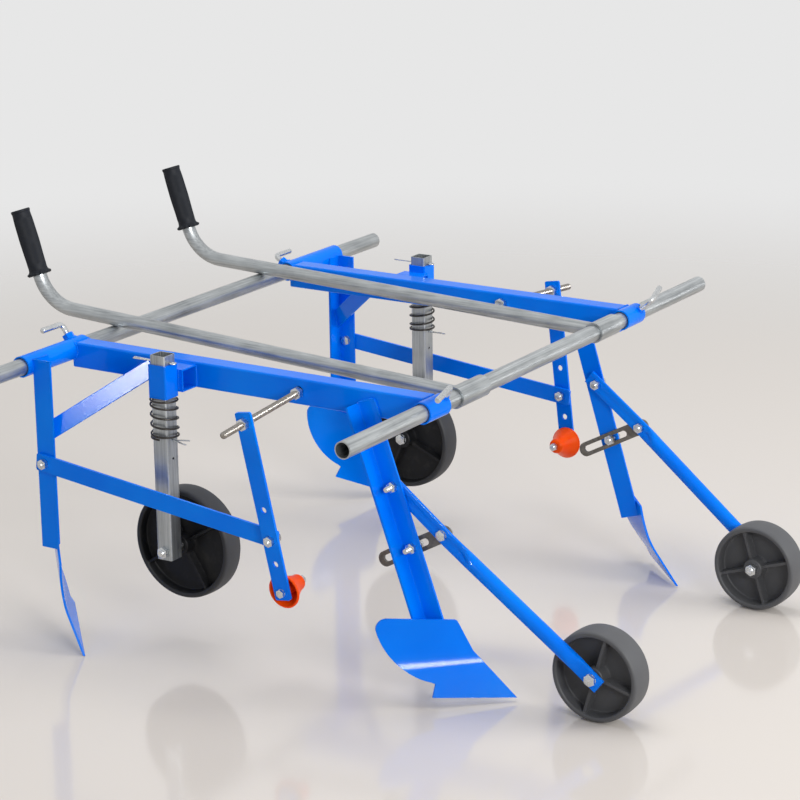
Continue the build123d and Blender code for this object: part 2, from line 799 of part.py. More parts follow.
def wheel_arm(side):
    """Tube flattened at both ends: the upper flat lies on the leg, the lower one beside the wheel."""
    flat_x, _, low_x = wheel_arm_stack(side)
    round_x = (flat_x + low_x) / 2
    pivot = on_leg(side, pivot_down, 0)
    way = arm_way(side)

    def section(distance, x, long, short):
        origin = pivot + way * distance + Vector(x, 0, 0)
        plane = Plane(origin=origin, x_dir=(1, 0, 0), z_dir=way)
        return plane * Rot(Z=90) * SlotOverall(long, short)

    def skin(wall, extra):
        flat = (arm_flat_width - 2 * wall, arm_flat_thickness - 2 * wall)
        circle = (2 * (arm_tube_radius - wall) + arm_ovality, 2 * (arm_tube_radius - wall))
        rings = [
            section(arm_flat_top[0] - extra, flat_x, *flat),
            section(arm_flat_top[1], flat_x, *flat),
            section(arm_round[0], round_x, *circle),
            section(arm_round[1], round_x, *circle),
            section(arm_flat_low[0], low_x, *flat),
            section(arm_flat_low[1] + extra, low_x, *flat),
        ]
        return loft(rings, ruled=True)

    arm = skin(0, 0) - skin(arm_tube_wall, arm_tube_radius)
    length = (Vector(0, axle_y, axle_z) - pivot).length
    for distance, x, radius in (
        (0, flat_x, bolt_hole_radius),
        (arm_bolt_distance, flat_x, bolt_hole_radius),
        (length, low_x, press_axle_radius + side_gap),
    ):
        middle = pivot + way * distance + Vector(x, 0, 0)
        reach = Vector(arm_flat_thickness, 0, 0)
        arm -= rod_between(middle - reach, middle + reach, radius)
    return arm


def bar_pin(side, x):
    """Bolt on the wheel arm that carries the slot bar."""
    return on_leg(side, pivot_down, x) + arm_way(side) * arm_bolt_distance


def slot_bar(side):
    """Flat bar with a long slot, from the arm's bolt back past the leg's slot bolt."""
    _, bar_x, _ = wheel_arm_stack(side)
    pin = bar_pin(side, bar_x)
    way = (on_leg(side, slot_bolt_down, bar_x) - pin).normalized()
    ends = slot_bar_width / 2
    outline = Pos(slot_bar_reach / 2, 0) * SlotOverall(slot_bar_reach + 2 * ends, slot_bar_width)
    low, high = slot_range
    outline -= Pos((low + high) / 2, 0) * SlotOverall(high - low, slot_width)
    outline -= Circle(bolt_hole_radius)
    plane = Plane(origin=pin, x_dir=way, z_dir=(1, 0, 0))
    return plane * extrude(outline, amount=slot_bar_thickness / 2, both=True)


def wheel_arm_bolts(side):
    """Front axle bolt and the bolt that joins arm and slot bar."""
    flat_x, bar_x, low_x = wheel_arm_stack(side)
    axle_grip = arm_flat_thickness + 2 * side_gap + 2 * front_hub_half
    axle = bolt(
        (low_x + arm_flat_thickness / 2, axle_y, axle_z),
        (-1, 0, 0),
        axle_grip,
        radius=press_axle_radius,
        flats=axle_flats,
    )
    faces = (
        flat_x + arm_flat_thickness / 2,
        flat_x - arm_flat_thickness / 2,
        bar_x + slot_bar_thickness / 2,
        bar_x - slot_bar_thickness / 2,
    )
    joint = bolt(bar_pin(side, max(faces)), (-1, 0, 0), max(faces) - min(faces))
    return Compound([axle, joint])


def front_wheel(side):
    _, _, low_x = wheel_arm_stack(side)
    middle = low_x - arm_flat_thickness / 2 - side_gap - front_hub_half
    bore = press_axle_radius + side_gap
    body = wheel(front_wheel_radius, front_wheel_width, front_hub_half, bore, side["front_rib_turn"])
    return Pos(middle, axle_y, axle_z) * body


def turned_bolt(side, face, outward, grip):
    """Bolt through a stack below an outer face, with its nut on the side that this frame has it."""
    if side["nuts_outside"]:
        return bolt(face - outward * grip, outward, grip)
    return bolt(face, outward * -1, grip)


def frame_fasteners(side):
    """Nuts on the film rod, the link bar's two bolts, and the pivot and slot bolts of the wheel arm."""
    rod_nuts = []
    half_beam = beam_width / 2 / math.cos(math.radians(rod_droop)) + rod_nut_off
    half_arm = flat_thickness / 2
    for place, way in (
        (-half_beam, -1),
        (half_beam, 1),
        (arm_on_rod - half_arm, -1),
        (arm_on_rod + half_arm, 1),
    ):
        rod_nuts.append(hexagon(on_rod(place), rod_axis() * way, axle_flats, rod_nut, rod_radius))
    leg_end, arm_end = link_ends()
    leg_inside = leg_out_x - angle_thickness
    leg_grip = angle_thickness + flat_thickness + 2 * link_clear
    leg_bolt = bolt((leg_inside, link_leg_y, link_leg_z), (1, 0, 0), leg_grip)
    arm_face = on_rod(arm_on_rod) + arm_down() * arm_link_hole + rod_axis() * half_arm
    arm_grip = (arm_face - arm_end).length + half_arm + link_nut_gap
    arm_bolt = turned_bolt(side, arm_face, rod_axis(), arm_grip)
    flat_x, bar_x, _ = wheel_arm_stack(side)
    inner = min(flat_x - arm_flat_thickness / 2, bar_x - slot_bar_thickness / 2) - side_gap
    flat_inner = flat_x - arm_flat_thickness / 2 - side_gap
    outer = beam_out_x + angle_thickness
    pivot = turned_bolt(side, on_leg(side, pivot_down, outer), Vector(1, 0, 0), outer - flat_inner)
    slot = turned_bolt(side, on_leg(side, slot_bolt_down, outer), Vector(1, 0, 0), outer - inner)
    return Compound([*rod_nuts, leg_bolt, arm_bolt, pivot, slot])


def side_pieces(side):
    """Every piece of one side by name, drawn with outboard along +X."""
    return {
        "side_beam": side_beam(),
        "front_sleeve": sleeve(side["front_sleeve_x"], 0, side["front_screw"], front_screw_nut),
        "rear_sleeve": sleeve(rear_sleeve_x, rear_tube_y, side["rear_screw"], rear_screw_nut),
        "rear_leg": rear_leg(side),
        "leg_brace": leg_brace(),
        "post_guide": post_guide(),
        "plough_leg": plough_leg(side),
        "plough": plough(side),
        "cover_blade": cover_blade(),
        "film_rod": film_rod(),
        "film_arm": film_arm(),
        "link_bar": link_bar(side),
        "frame_fasteners": frame_fasteners(side),
        "film_cone": film_cone(),
        "cone_bolt": cone_bolt(),
        "press_post": press_post(),
        "press_spring": press_spring(),
        "post_pins": post_pins(),
        "press_wheel": press_wheel(),
        "press_axle_bolt": press_axle_bolt(),
        "wheel_arm": wheel_arm(side),
        "slot_bar": slot_bar(side),
        "wheel_arm_bolts": wheel_arm_bolts(side),
        "front_wheel": front_wheel(side),
        "front_clamp_screw": clamp_screw(0, side["front_screw"]),
        "rear_clamp_screw": clamp_screw(rear_tube_y, side["rear_screw"]),
        "handle_tube": handle_tube(side),
        "handle_sleeve": handle_sleeve(side),
        "grip": grip(side),
    }


# The machine reaches from the front wheels to the tops of the grips
frontmost = axle_y - front_wheel_radius
rearmost = max(grip(side).bounding_box().max.Y for side in (left, right))
middle_y = (frontmost + rearmost) / 2
to_origin = Pos(0, -middle_y, 0)
print("middle along Y", round(middle_y, 2))

nodes = {
    "front_cross_tube": cross_tube(0, front_tube_length),
    "rear_cross_tube": cross_tube(rear_tube_y, rear_tube_length),
}
for side in (left, right):
    for name, shape in side_pieces(side).items():
        if side["sign"] < 0:
            shape = mirror(shape, about=Plane.YZ)
        nodes[side["name"] + "_" + name] = shape

for name, shape in nodes.items():
    export_step(to_origin * shape, "parts/" + name + ".step")
print(len(nodes), "nodes")
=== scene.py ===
import math

import bmesh
import bpy
import numpy as np
from mathutils import Matrix, Vector


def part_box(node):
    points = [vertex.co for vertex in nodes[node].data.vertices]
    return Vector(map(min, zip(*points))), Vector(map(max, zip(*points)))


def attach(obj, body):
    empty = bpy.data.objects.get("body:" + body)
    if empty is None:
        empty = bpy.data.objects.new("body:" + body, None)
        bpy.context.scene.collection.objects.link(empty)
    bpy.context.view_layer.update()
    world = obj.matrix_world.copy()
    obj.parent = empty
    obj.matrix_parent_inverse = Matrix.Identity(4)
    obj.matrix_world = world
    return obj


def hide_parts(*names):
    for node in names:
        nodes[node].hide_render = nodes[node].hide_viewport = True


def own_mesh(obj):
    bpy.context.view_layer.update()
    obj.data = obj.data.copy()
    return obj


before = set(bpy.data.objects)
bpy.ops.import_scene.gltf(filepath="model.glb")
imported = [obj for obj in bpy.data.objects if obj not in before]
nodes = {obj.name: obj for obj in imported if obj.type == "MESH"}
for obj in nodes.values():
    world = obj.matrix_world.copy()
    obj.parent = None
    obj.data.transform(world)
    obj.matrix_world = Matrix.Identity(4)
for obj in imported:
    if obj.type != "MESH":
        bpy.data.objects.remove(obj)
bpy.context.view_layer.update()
print("frame loaded,", len(nodes), "nodes")

# Machine millimetres: x outboard from the middle, y back from the front cross tube, z up from the floor
tubeLow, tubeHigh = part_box("front_cross_tube")
frontY = (tubeLow.y + tubeHigh.y) / 2 * 1000
tubeZ, tubeRadius, rearTubeY = 484.0, 14.25, 728.0
outWay, backWay, upWay = np.eye(3)
gap = 0.3  # play between pieces that move on each other

sides = [
    {
        "name": "left", "sign": -1,
        "frontScrew": {"x": 323, "tilt": -34, "reach": 41, "arm": 60, "swing": 12},
        "rearScrew": {"x": 331, "tilt": 36, "reach": 47, "arm": 52, "swing": 0},
        "frontSeams": (347,), "frontWeldX": 315.5, "legWeldZ": 493.2, "handleZ": 473,
        "legLean": 19.65, "boltIn": 16, "barOutside": False, "nutsOutside": True,
        "ploughTip": (303.5, -131, 7),
        "frontRibs": 16, "pressRibs": 58, "armFlat": (148, 182),
    },
    {
        "name": "right", "sign": 1,
        "frontScrew": {"x": 337, "tilt": -50, "reach": 51, "arm": 47, "swing": -17},
        "rearScrew": {"x": 326, "tilt": 58, "reach": 43, "arm": 48, "swing": 0},
        "frontSeams": (347, 309), "frontWeldX": 309.5, "legWeldZ": 487, "handleZ": 480.5,
        "legLean": 16.9, "boltIn": 9, "barOutside": True, "nutsOutside": False,
        "ploughTip": (303.5, -115, 3),
        "frontRibs": -18, "pressRibs": 24, "armFlat": (124, 152),
    },
]


def unit(v):
    v = np.asarray(v, float)
    return v / np.linalg.norm(v, axis=-1, keepdims=True)


def smooth(x, start, span):
    # eases from 0 to 1 over a span
    t = np.clip((x - start) / span, 0, 1)
    return t * t * (3 - 2 * t)


def leaned(way, towards, degrees):
    # a direction leaned by an angle towards another that is square to it
    return way * math.cos(math.radians(degrees)) + towards * math.sin(math.radians(degrees))


def roundAngles(count):
    # angles evenly round one turn
    return np.linspace(0, 2 * np.pi, count, endpoint=False)


def column(values):
    # a list as a column, a grid as it is
    values = np.asarray(values, float)
    return values if values.ndim == 2 else np.atleast_1d(values)[:, None]


def lengthAlong(path):
    # length of a path from its start to each of its points
    return np.r_[0, np.cumsum(np.linalg.norm(np.diff(path, axis=0), axis=1))]


def gridShell(points, wrap=True):
    # quads between neighbouring rows and columns of a grid of points; wrap joins the last column to the first
    rows, cols = points.shape[:2]
    index = np.arange(rows * cols).reshape(rows, cols)
    here, after = (index, np.roll(index, -1, 1)) if wrap else (index[:, :-1], index[:, 1:])
    quads = np.stack([here[:-1], after[:-1], after[1:], here[1:]], -1).reshape(-1, 4)
    return points.reshape(-1, 3), quads


def cappedShell(rings, middles):
    # a grid of closed rings, drawn together to a middle point at each end
    caps = np.repeat(middles[:, None], rings.shape[1], 1)
    return gridShell(np.r_[caps[:1], rings, caps[1:]])


def crossAxes(axis):
    # two unit vectors square to an axis and to each other
    w = unit(axis)
    u = unit(np.cross(w, (0.0, 0.0, 1.0) if abs(w[2]) < 0.9 else (0.0, 1.0, 0.0)))
    return u, np.cross(w, u), w


def turnedShell(start, axis, radii, heights, segments=48):
    # a profile of radius and height turned about an axis; both may also vary round the turn
    u, v, w = crossAxes(axis)
    angle = roundAngles(segments)[None, :, None]
    ring = np.cos(angle) * u + np.sin(angle) * v
    radii, heights = column(radii)[..., None], column(heights)[..., None]
    return gridShell(start + radii * ring + heights * w)


def tubeShell(path, radii, side, segments=16):
    # a circle carried along a path, closed at both ends; side is a direction across the path
    way = unit(np.gradient(path, axis=0))
    side = np.broadcast_to(side, path.shape)
    across = unit(side - (side * way).sum(-1, keepdims=True) * way)
    over = np.cross(way, across)
    angle = roundAngles(segments)[None, :, None]
    ring = np.cos(angle) * across[:, None] + np.sin(angle) * over[:, None]
    return cappedShell(path[:, None] + column(radii)[..., None] * ring, path[[0, -1]])


def addObject(name, data):
    # an object with that data, put in the scene
    added = bpy.data.objects.new(name, data)
    bpy.context.scene.collection.objects.link(added)
    return added


def makePiece(name, shells, sign, body, finish, replaced, sharp=35.0, wear=None):
    # joins shells in machine millimetres into one mesh in metres, with merged poles and outward faces
    material, slot = finish
    counts = np.cumsum([0] + [len(points) for points, _ in shells])
    points = np.concatenate([p for p, _ in shells]) * (sign, 1, 1) + (0, frontY, 0)
    quads = np.concatenate([q + c for (_, q), c in zip(shells, counts)])
    mesh = bpy.data.meshes.new(name)
    mesh.from_pydata((points / 1000).tolist(), [], quads.tolist())
    # a per-point pale share for the wheels: rubbed wear and painted light together
    if wear is not None:
        layer = mesh.attributes.new("wear", "FLOAT", "POINT")
        layer.data.foreach_set("value", wear.astype(np.float32))
    work = bmesh.new()
    work.from_mesh(mesh)
    bmesh.ops.remove_doubles(work, verts=work.verts, dist=2e-6)
    bmesh.ops.dissolve_degenerate(work, edges=work.edges, dist=1e-7)
    bmesh.ops.recalc_face_normals(work, faces=work.faces)
    work.to_mesh(mesh)
    work.free()
    mesh.shade_smooth()
    mesh.set_sharp_from_angle(angle=math.radians(sharp))
    mesh.materials.append(material)
    piece = addObject(name, mesh)
    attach(piece, body)
    if replaced:
        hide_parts(*replaced)
    return piece


def linear(hexColour):
    # sRGB hex to linear light
    parts = [int(hexColour[i:i + 2], 16) / 255 for i in (1, 3, 5)]
    return [c / 12.92 if c <= 0.04045 else ((c + 0.055) / 1.055) ** 2.4 for c in parts] + [1.0]


def perMetre(millimetres):
    # texture scale of a pattern whose cells are that wide
    return 1000.0 / millimetres


def feed(tree, node, links):
    # joins sockets to a node's inputs
    for key, source in links.items():
        tree.links.new(source, node.inputs[key])


def addNode(tree, kind, settings=None, links=None):
    # one node with its settings, by input name, input number or property, and the sockets that feed it; stops
    # are a ramp's places and colours, and the node's outputs come back
    node = tree.nodes.new("ShaderNode" + kind)
    for key, value in (settings or {}).items():
        if key == "stops":
            ramp = node.color_ramp.elements
            ramp[0].position, ramp[1].position = value[0][0], value[-1][0]
            for place, _ in value[1:-1]:
                ramp.new(place)
            for stop, (_, colour) in zip(ramp, value):
                stop.color = linear(colour)
        elif isinstance(key, str) and hasattr(node, key):
            setattr(node, key, value)
        else:
            node.inputs[key].default_value = value
    feed(tree, node, links or {})
    return node.outputs


def newMaterial(name, settings):
    # an empty principled material with its Object coordinates
    material = bpy.data.materials.new(name)
    material.use_nodes = True
    tree = material.node_tree
    shader = tree.nodes["Principled BSDF"]
    for key, value in settings.items():
        shader.inputs[key].default_value = value
    return material, tree, shader, addNode(tree, "TexCoord")["Object"]


def layOver(tree, place, base, colour, noise, mask):
    # a colour over the base where a noise passes a mask of low value, high value and full share; the mixed
    # colour and the noise come back
    pattern = addNode(tree, "TexNoise", noise, {"Vector": place})["Fac"]
    low, high, most = mask
    cover = addNode(tree, "MapRange", {"From Min": low, "From Max": high, "To Max": most}, {"Value": pattern})
    mixed = addNode(tree, "Mix", {"data_type": "RGBA", 7: linear(colour)}, {0: cover["Result"], 6: base})
    return mixed[2], pattern


def dressShader(tree, shader, colour, pattern, roughness, relief, heights):
    # colour as it comes, roughness between two values by a pattern, and a bump of some strength and depth
    rough = addNode(tree, "MapRange", {"To Min": roughness[0], "To Max": roughness[1]}, {"Value": pattern})
    bump = addNode(tree, "Bump", {"Strength": relief[0], "Distance": relief[1]}, heights)
    feed(tree, shader, {"Base Color": colour, "Roughness": rough["Result"], "Normal": bump["Normal"]})


# Sprayed enamel on mild steel: even bright blue with a wet gloss, a faint orange peel, thin chalky scuffs
enamel = {
    "tones": ((0.25, "#0071F2"), (0.5, "#007AF8"), (0.75, "#0082FC")), "gloss": 0.1,
    "patches": {"Scale": perMetre(120.0), "Detail": 2.0}, "peel": {"Scale": perMetre(2.6), "Detail": 2.0},
    "scuffs": ("#5FA6F0", {"Scale": perMetre(9.0), "Detail": 8.0, "Roughness": 0.75}, (0.71, 0.82, 0.3)),
    "roughness": (0.06, 0.18), "relief": (0.1, 0.0004), "edgeMm": 0.9,
}


def blueEnamel():
    material, tree, shader, coords = newMaterial("SprayedBlueEnamel", {
        "IOR": 1.5, "Specular IOR Level": enamel["gloss"],
    })
    patch = addNode(tree, "TexNoise", enamel["patches"], {"Vector": coords})
    tone = addNode(tree, "ValToRGB", {"stops": enamel["tones"]}, {"Fac": patch["Fac"]})
    colour, scuff = layOver(tree, coords, tone["Color"], *enamel["scuffs"])
    peel = addNode(tree, "TexNoise", enamel["peel"], {"Vector": coords})
    edge = addNode(tree, "Bevel", {"samples": 4, "Radius": enamel["edgeMm"] / 1000})
    dressShader(tree, shader, colour, scuff, enamel["roughness"], enamel["relief"],
                {"Height": peel["Fac"], "Normal": edge["Normal"]})
    return material


# Galvanised steel tube: satin zinc with drawn streaks along the tube and a few pale blue-grey stains
zincCoat = {
    "tones": ((0.28, "#7F8487"), (0.48, "#A4A8AA"), (0.7, "#C0C4C5")),
    "streaks": {"Scale": perMetre(2.8), "Detail": 3.0}, "streakShare": 0.6,
    "clouds": {"Scale": perMetre(55.0), "Detail": 5.0, "Roughness": 0.55},
    "stains": ("#8294A5", {"Scale": perMetre(90.0), "Detail": 6.0, "Roughness": 0.6}, (0.58, 0.74, 0.5)),
    "roughness": (0.28, 0.48), "relief": (0.05, 0.0003),
}


def galvanisedSteel(name, stretch):
    # stretch is the mapping scale that draws the streaks out along the tube
    material, tree, shader, coords = newMaterial(name, {"Metallic": 0.9})
    drawn = addNode(tree, "Mapping", {"Scale": stretch}, {"Vector": coords})["Vector"]
    streak = addNode(tree, "TexNoise", zincCoat["streaks"], {"Vector": drawn})["Fac"]
    cloud = addNode(tree, "TexNoise", zincCoat["clouds"], {"Vector": coords})["Fac"]
    mixed = addNode(tree, "Mix", {"data_type": "FLOAT", 0: zincCoat["streakShare"]}, {2: cloud, 3: streak})
    tone = addNode(tree, "ValToRGB", {"stops": zincCoat["tones"]}, {"Fac": mixed[0]})
    colour, _ = layOver(tree, drawn, tone["Color"], *zincCoat["stains"])
    dressShader(tree, shader, colour, cloud, zincCoat["roughness"], zincCoat["relief"], {"Height": streak})
    return material


def plainFinish(name, light, dark, grainMm, roughness, relief, settings):
    # one metal or plastic in two tones mixed by a fine noise
    material, tree, shader, coords = newMaterial(name, {"Roughness": roughness, **settings})
    grain = addNode(tree, "TexNoise",
                    {"Scale": perMetre(grainMm), "Detail": 5.0, "Roughness": 0.6}, {"Vector": coords})["Fac"]
    tone = addNode(tree, "MapRange", {"From Min": 0.3, "From Max": 0.7}, {"Value": grain})
    shades = {6: linear(dark), 7: linear(light)}
    colour = addNode(tree, "Mix", {"data_type": "RGBA", **shades}, {0: tone["Result"]})
    dressShader(tree, shader, colour[2], grain, (roughness - 0.07, roughness + 0.09), (relief, 0.0004),
                {"Height": grain})
    return material


# Moulded polypropylene wheels: charcoal, a paler tread that is rubbed wear and painted light, thin dust, a
# fine moulded grain
plastic = {
    "body": "#101114", "tread": "#5A5B5E",
    "dust": ("#5A5854", {"Scale": perMetre(22.0), "Detail": 7.0, "Roughness": 0.66}, (0.5, 0.8, 0.2)),
    "grain": {"Scale": perMetre(1.6), "Detail": 3.0}, "roughness": (0.42, 0.62), "relief": (0.15, 0.0003),
}


def mouldedPolypropylene():
    material, tree, shader, coords = newMaterial("MouldedPolypropylene", {
        "IOR": 1.49, "Specular IOR Level": 0.25,
    })
    # the attribute mixes body to pale tread colour: rubbed wear on the tread, painted light on the front
    # wheels and painted shade on the press wheels
    wear = addNode(tree, "Attribute", {"attribute_name": "wear"})["Fac"]
    shades = {6: linear(plastic["body"]), 7: linear(plastic["tread"])}
    tread = addNode(tree, "Mix", {"data_type": "RGBA", **shades}, {0: wear})
    colour, dust = layOver(tree, coords, tread[2], *plastic["dust"])
    grain = addNode(tree, "TexNoise", plastic["grain"], {"Vector": coords})
    dressShader(tree, shader, colour, dust, plastic["roughness"], plastic["relief"], {"Height": grain["Fac"]})
    return material


blue = blueEnamel()
zincAcross = galvanisedSteel("GalvanisedSteelAcross", (0.03, 1.0, 1.0))
zincAlong = galvanisedSteel("GalvanisedSteelAlong", (1.0, 0.03, 1.0))
zincUpright = galvanisedSteel("GalvanisedSteelUpright", (1.0, 1.0, 0.03))
# Bright zinc plate on screws, nuts and pins: cold silver, almost clean
brightZinc = plainFinish("BrightZincPlate", "#D8DADB", "#BEC1C3", 6.0, 0.26, 0.03, {"Metallic": 1.0})
# Rolled thread left plain: warmer and duller than the zinc
plainThread = plainFinish("RolledThreadSteel", "#ADA8A2", "#807B76", 5.0, 0.24, 0.05, {"Metallic": 1.0})
# Oil-hardened spring wire: brown-black with a dull shine
springWire = plainFinish("OiledSpringWire", "#4A4642", "#2C2927", 3.0, 0.38, 0.1, {"Metallic": 0.7})
# Plasma-cut plate with its mill scale: dull brownish grey
scaledSteel = plainFinish("PlasmaCutScaledSteel", "#7C776F", "#5B5751", 7.0, 0.5, 0.14, {"Metallic": 0.45})
# Moulded polyethylene: saturated orange with a waxy shine
orange = plainFinish("MouldedOrangePolyethylene", "#FF5806", "#FF4600", 12.0, 0.36, 0.03,
                     {"IOR": 1.5, "Specular IOR Level": 0.12})
# Moulded rubber: soft black with a fine dusty grain
blackRubber = plainFinish("MouldedBlackRubber", "#1F232B", "#12151A", 1.8, 0.58, 0.3,
                          {"IOR": 1.5, "Specular IOR Level": 0.2})
wheelMaterial = mouldedPolypropylene()
print("materials made")

# CAD nodes that stay in view and aren't painted blue
nodeFinish = {
    "front_cross_tube": zincAcross, "rear_cross_tube": zincAcross, "handle_sleeve": zincAcross,
    "handle_tube": zincAlong, "press_post": zincUpright, "slot_bar": scaledSteel,
}
for nodeName, node in nodes.items():
    plainName = nodeName.removeprefix("left_").removeprefix("right_")
    node.data.materials.clear()
    node.data.materials.append(nodeFinish.get(plainName, blue))

# Threads: rolled metric, drawn at their real pitch
thread = {"rodPitch": 1.75, "boltPitch": 1.5, "depth": 0.6, "rowsPerPitch": 6, "endSlope": 0.8}


def threadWave(along, pitch, hand, segments):
    # a triangle wave from 0 to 1, once per pitch along the bar and shifted by one pitch in each turn
    turns = along[:, None] / pitch - hand * roundAngles(segments)[None] / (2 * np.pi)
    return np.abs((turns % 1) * 2 - 1)


def threadedShell(start, end, radius, pitch, hand, segments=20):
    # a round bar whose radius dips with the thread's wave, with chamfered ends
    length = np.linalg.norm(end - start)
    along = np.linspace(0, length, max(int(length / pitch * thread["rowsPerPitch"]), 4))
    depth = pitch * thread["depth"]
    fromEnd = np.minimum(along, length - along)[:, None]
    radii = np.minimum(radius - depth * threadWave(along, pitch, hand, segments),
                       radius - depth + fromEnd * thread["endSlope"])
    radii = np.pad(radii, ((1, 1), (0, 0)))
    return turnedShell(start, end - start, radii, np.r_[0, along, length], segments)


# Hexagons: heads and nuts with turned chamfers, and thin washers; axle is radius and flats of the wheel bolts
fastener = {
    "headMm": 6.5, "nutMm": 8, "tailMm": 4, "longTailMm": 13, "flatsMm": 16, "chamfer": 0.95,
    "boltMm": 5, "axle": (6, 18), "washer": 0.55, "washerMm": 0.8,
}


def hexShell(start, axis, flats, height, bothEnds=False):
    # radius follows a hexagon round the turn; past the chamfer circle the end falls away at 30 degrees
    angle, apothem = roundAngles(72), flats / 2
    hexagon = apothem / np.cos((angle + np.pi / 6) % (np.pi / 3) - np.pi / 6)
    circle = np.minimum(hexagon, apothem * fastener["chamfer"])
    drop = (hexagon - circle) * math.tan(math.radians(30))
    flat = angle * 0
    radii = np.stack([flat, circle, hexagon, hexagon, circle, flat])
    low = drop if bothEnds else flat
    heights = np.stack([flat, flat, low, height - drop, flat + height, flat + height])
    return turnedShell(start, axis, radii, heights, len(angle))


def boltShells(start, axis, grip, hand, radius=fastener["boltMm"], flats=fastener["flatsMm"],
               tail=fastener["tailMm"]):
    # head before the start, plain shank through the grip, nut after it and a threaded tail
    end = start + axis * grip
    nutEnd = end + axis * (fastener["nutMm"] + tail)
    washerR, washerZ = flats * fastener["washer"], fastener["washerMm"]
    return [
        hexShell(start, -axis, flats, fastener["headMm"]),
        turnedShell(start - axis * 0.1, -axis, [radius, washerR, washerR, radius, radius],
                    [0, 0, washerZ, washerZ, 0], 40),
        turnedShell(start, axis, [0, radius, radius, 0], [-1, -1, grip, grip], 24),
        hexShell(end, axis, flats, fastener["nutMm"], True),
        threadedShell(end - axis, nutEnd, radius, thread["boltPitch"], hand),
    ]


def sideBolt(side, inner, outward, grip, tail=fastener["tailMm"]):
    # a bolt outward from the inner face of what it holds, or back from the outer face where its head shows
    if side["nutsOutside"]:
        return boltShells(inner, outward, grip, side["sign"], tail=tail)
    return boltShells(inner + outward * grip, -outward, grip, side["sign"])


# Film rod, the flat arm that hangs from it and the link bar's bolts
filmRod = {
    "start": (328, 252, 478), "droop": 5, "reach": (-28, 232), "radius": 6, "halfBeam": 19,
    "armAt": 171, "armLean": 9.1, "flat": 5, "linkHole": 199, "coneHole": 289,
    "nutMm": 10, "flatsMm": 18, "nutOff": 1.6, "linkGrip": 13.3,
    "rearBolt": (459, 694, 318), "rearGrip": 10.6,
}
rodAxis = leaned(outWay, -upWay, filmRod["droop"])
armDown = leaned(leaned(-upWay, -outWay, filmRod["droop"]), -backWay, filmRod["armLean"])
rodStart = np.array(filmRod["start"])
armTop = rodStart + rodAxis * filmRod["armAt"]

# Plough leg's bolt line and the wheel arm that swings from it
legLine = {
    "x": 347, "y": 104, "pivot": 142, "slot": 246, "flange": 4, "wide": 40,
    "root": 7, "rootReach": (-1, 352),
}
wheelArm = {
    "axleY": -278, "axleZ": 76.5, "pinAt": 112, "radius": 12.5, "flatWide": 27, "flatThick": 7,
    "start": -20, "end": 458, "lowRound": 392, "lowFlat": 418, "crease": 0.7, "creaseMm": 3.2,
    "slantFrom": 128, "slant": 280, "squareness": 0.55,
}
# front wheels: faces and treads painted pale as painted light, on top of the tread's rubbed wear
frontWheel = {"radius": 76.5, "width": 50, "hubHalf": 26.5, "faceWearAndLight": 0.68, "treadWearAndLight": 1}
slotBar = {"thick": 5}
axle = np.array([0, wheelArm["axleY"], wheelArm["axleZ"]])
legTop = np.array([legLine["x"], legLine["y"], tubeZ])


def legWays(side):
    # unit vectors down the leaning leg and square back from its front edge
    return leaned(-upWay, -backWay, side["legLean"]), leaned(backWay, -upWay, side["legLean"])


def across(x, point):
    # a point moved to another place across the machine
    return np.array([x, point[1], point[2]])


def onLeg(side, down, x):
    # a point on the leg's bolt line
    legDown, legBack = legWays(side)
    return across(x, legTop) + legDown * down + legBack * side["boltIn"]


def legRootShell(side):
    # rolled inside corner of the leg's angle: a hollow quarter arc and the corner behind it, carried down
    legDown, legBack = legWays(side)
    root, flange = legLine["root"], legLine["flange"]
    arc = np.radians(np.linspace(90, 180, 14))
    outward = flange + root + root * np.cos(arc)
    back = legLine["wide"] - flange - root + root * np.sin(arc)
    outward = np.append(outward, [flange - 1, flange - 1, flange + root])
    back = np.append(back, [back[-1], back[0] + 1, back[0] + 1])
    section = legTop + outward[:, None] * outWay + back[:, None] * legBack
    points = section + np.linspace(*legLine["rootReach"], 12)[:, None, None] * legDown
    return cappedShell(points, points[[0, -1], -2])


def armLine(side):
    # the wheel arm's pivot and its direction to the axle
    pivot = onLeg(side, legLine["pivot"], 0)
    return pivot, unit(axle - pivot)


def armPlaces(side):
    # places across the machine of the arm's upper flat, the slot bar and the arm's lower flat
    outer, thick, barThick = legLine["x"] - gap, wheelArm["flatThick"], slotBar["thick"]
    if side["barOutside"]:
        bar, flat = outer - barThick / 2, outer - barThick - gap - thick / 2
    else:
        bar, flat = outer - thick - gap - barThick / 2, outer - thick / 2
    return flat, bar, flat - 2 * (wheelArm["radius"] - thick / 2)


def frameBolts(side):
    # nuts on the film rod, the link bar's bolts, and the pivot and slot bolts of the wheel arm
    shells = []
    halfBeam = filmRod["halfBeam"] / rodAxis[0] + filmRod["nutOff"]
    armAt, halfFlat = filmRod["armAt"], filmRod["flat"] / 2
    for place, way in ((-halfBeam, -1), (halfBeam, 1), (armAt - halfFlat, -1), (armAt + halfFlat, 1)):
        spot = rodStart + rodAxis * place
        shells.append(hexShell(spot, rodAxis * way, filmRod["flatsMm"], filmRod["nutMm"], True))
    shells += boltShells(filmRod["rearBolt"], outWay, filmRod["rearGrip"], side["sign"])
    linkInner = armTop + armDown * filmRod["linkHole"] + rodAxis * (halfFlat - filmRod["linkGrip"])
    shells += sideBolt(side, linkInner, rodAxis, filmRod["linkGrip"])
    flat, bar, _ = armPlaces(side)
    flatInner = flat - wheelArm["flatThick"] / 2 - gap
    inner = min(flatInner, bar - slotBar["thick"] / 2 - gap)
    outer = legLine["x"] + legLine["flange"]
    for down, end in ((legLine["pivot"], flatInner), (legLine["slot"], inner)):
        shells += sideBolt(side, onLeg(side, down, end), outWay, outer - end, fastener["longTailMm"])
    return shells


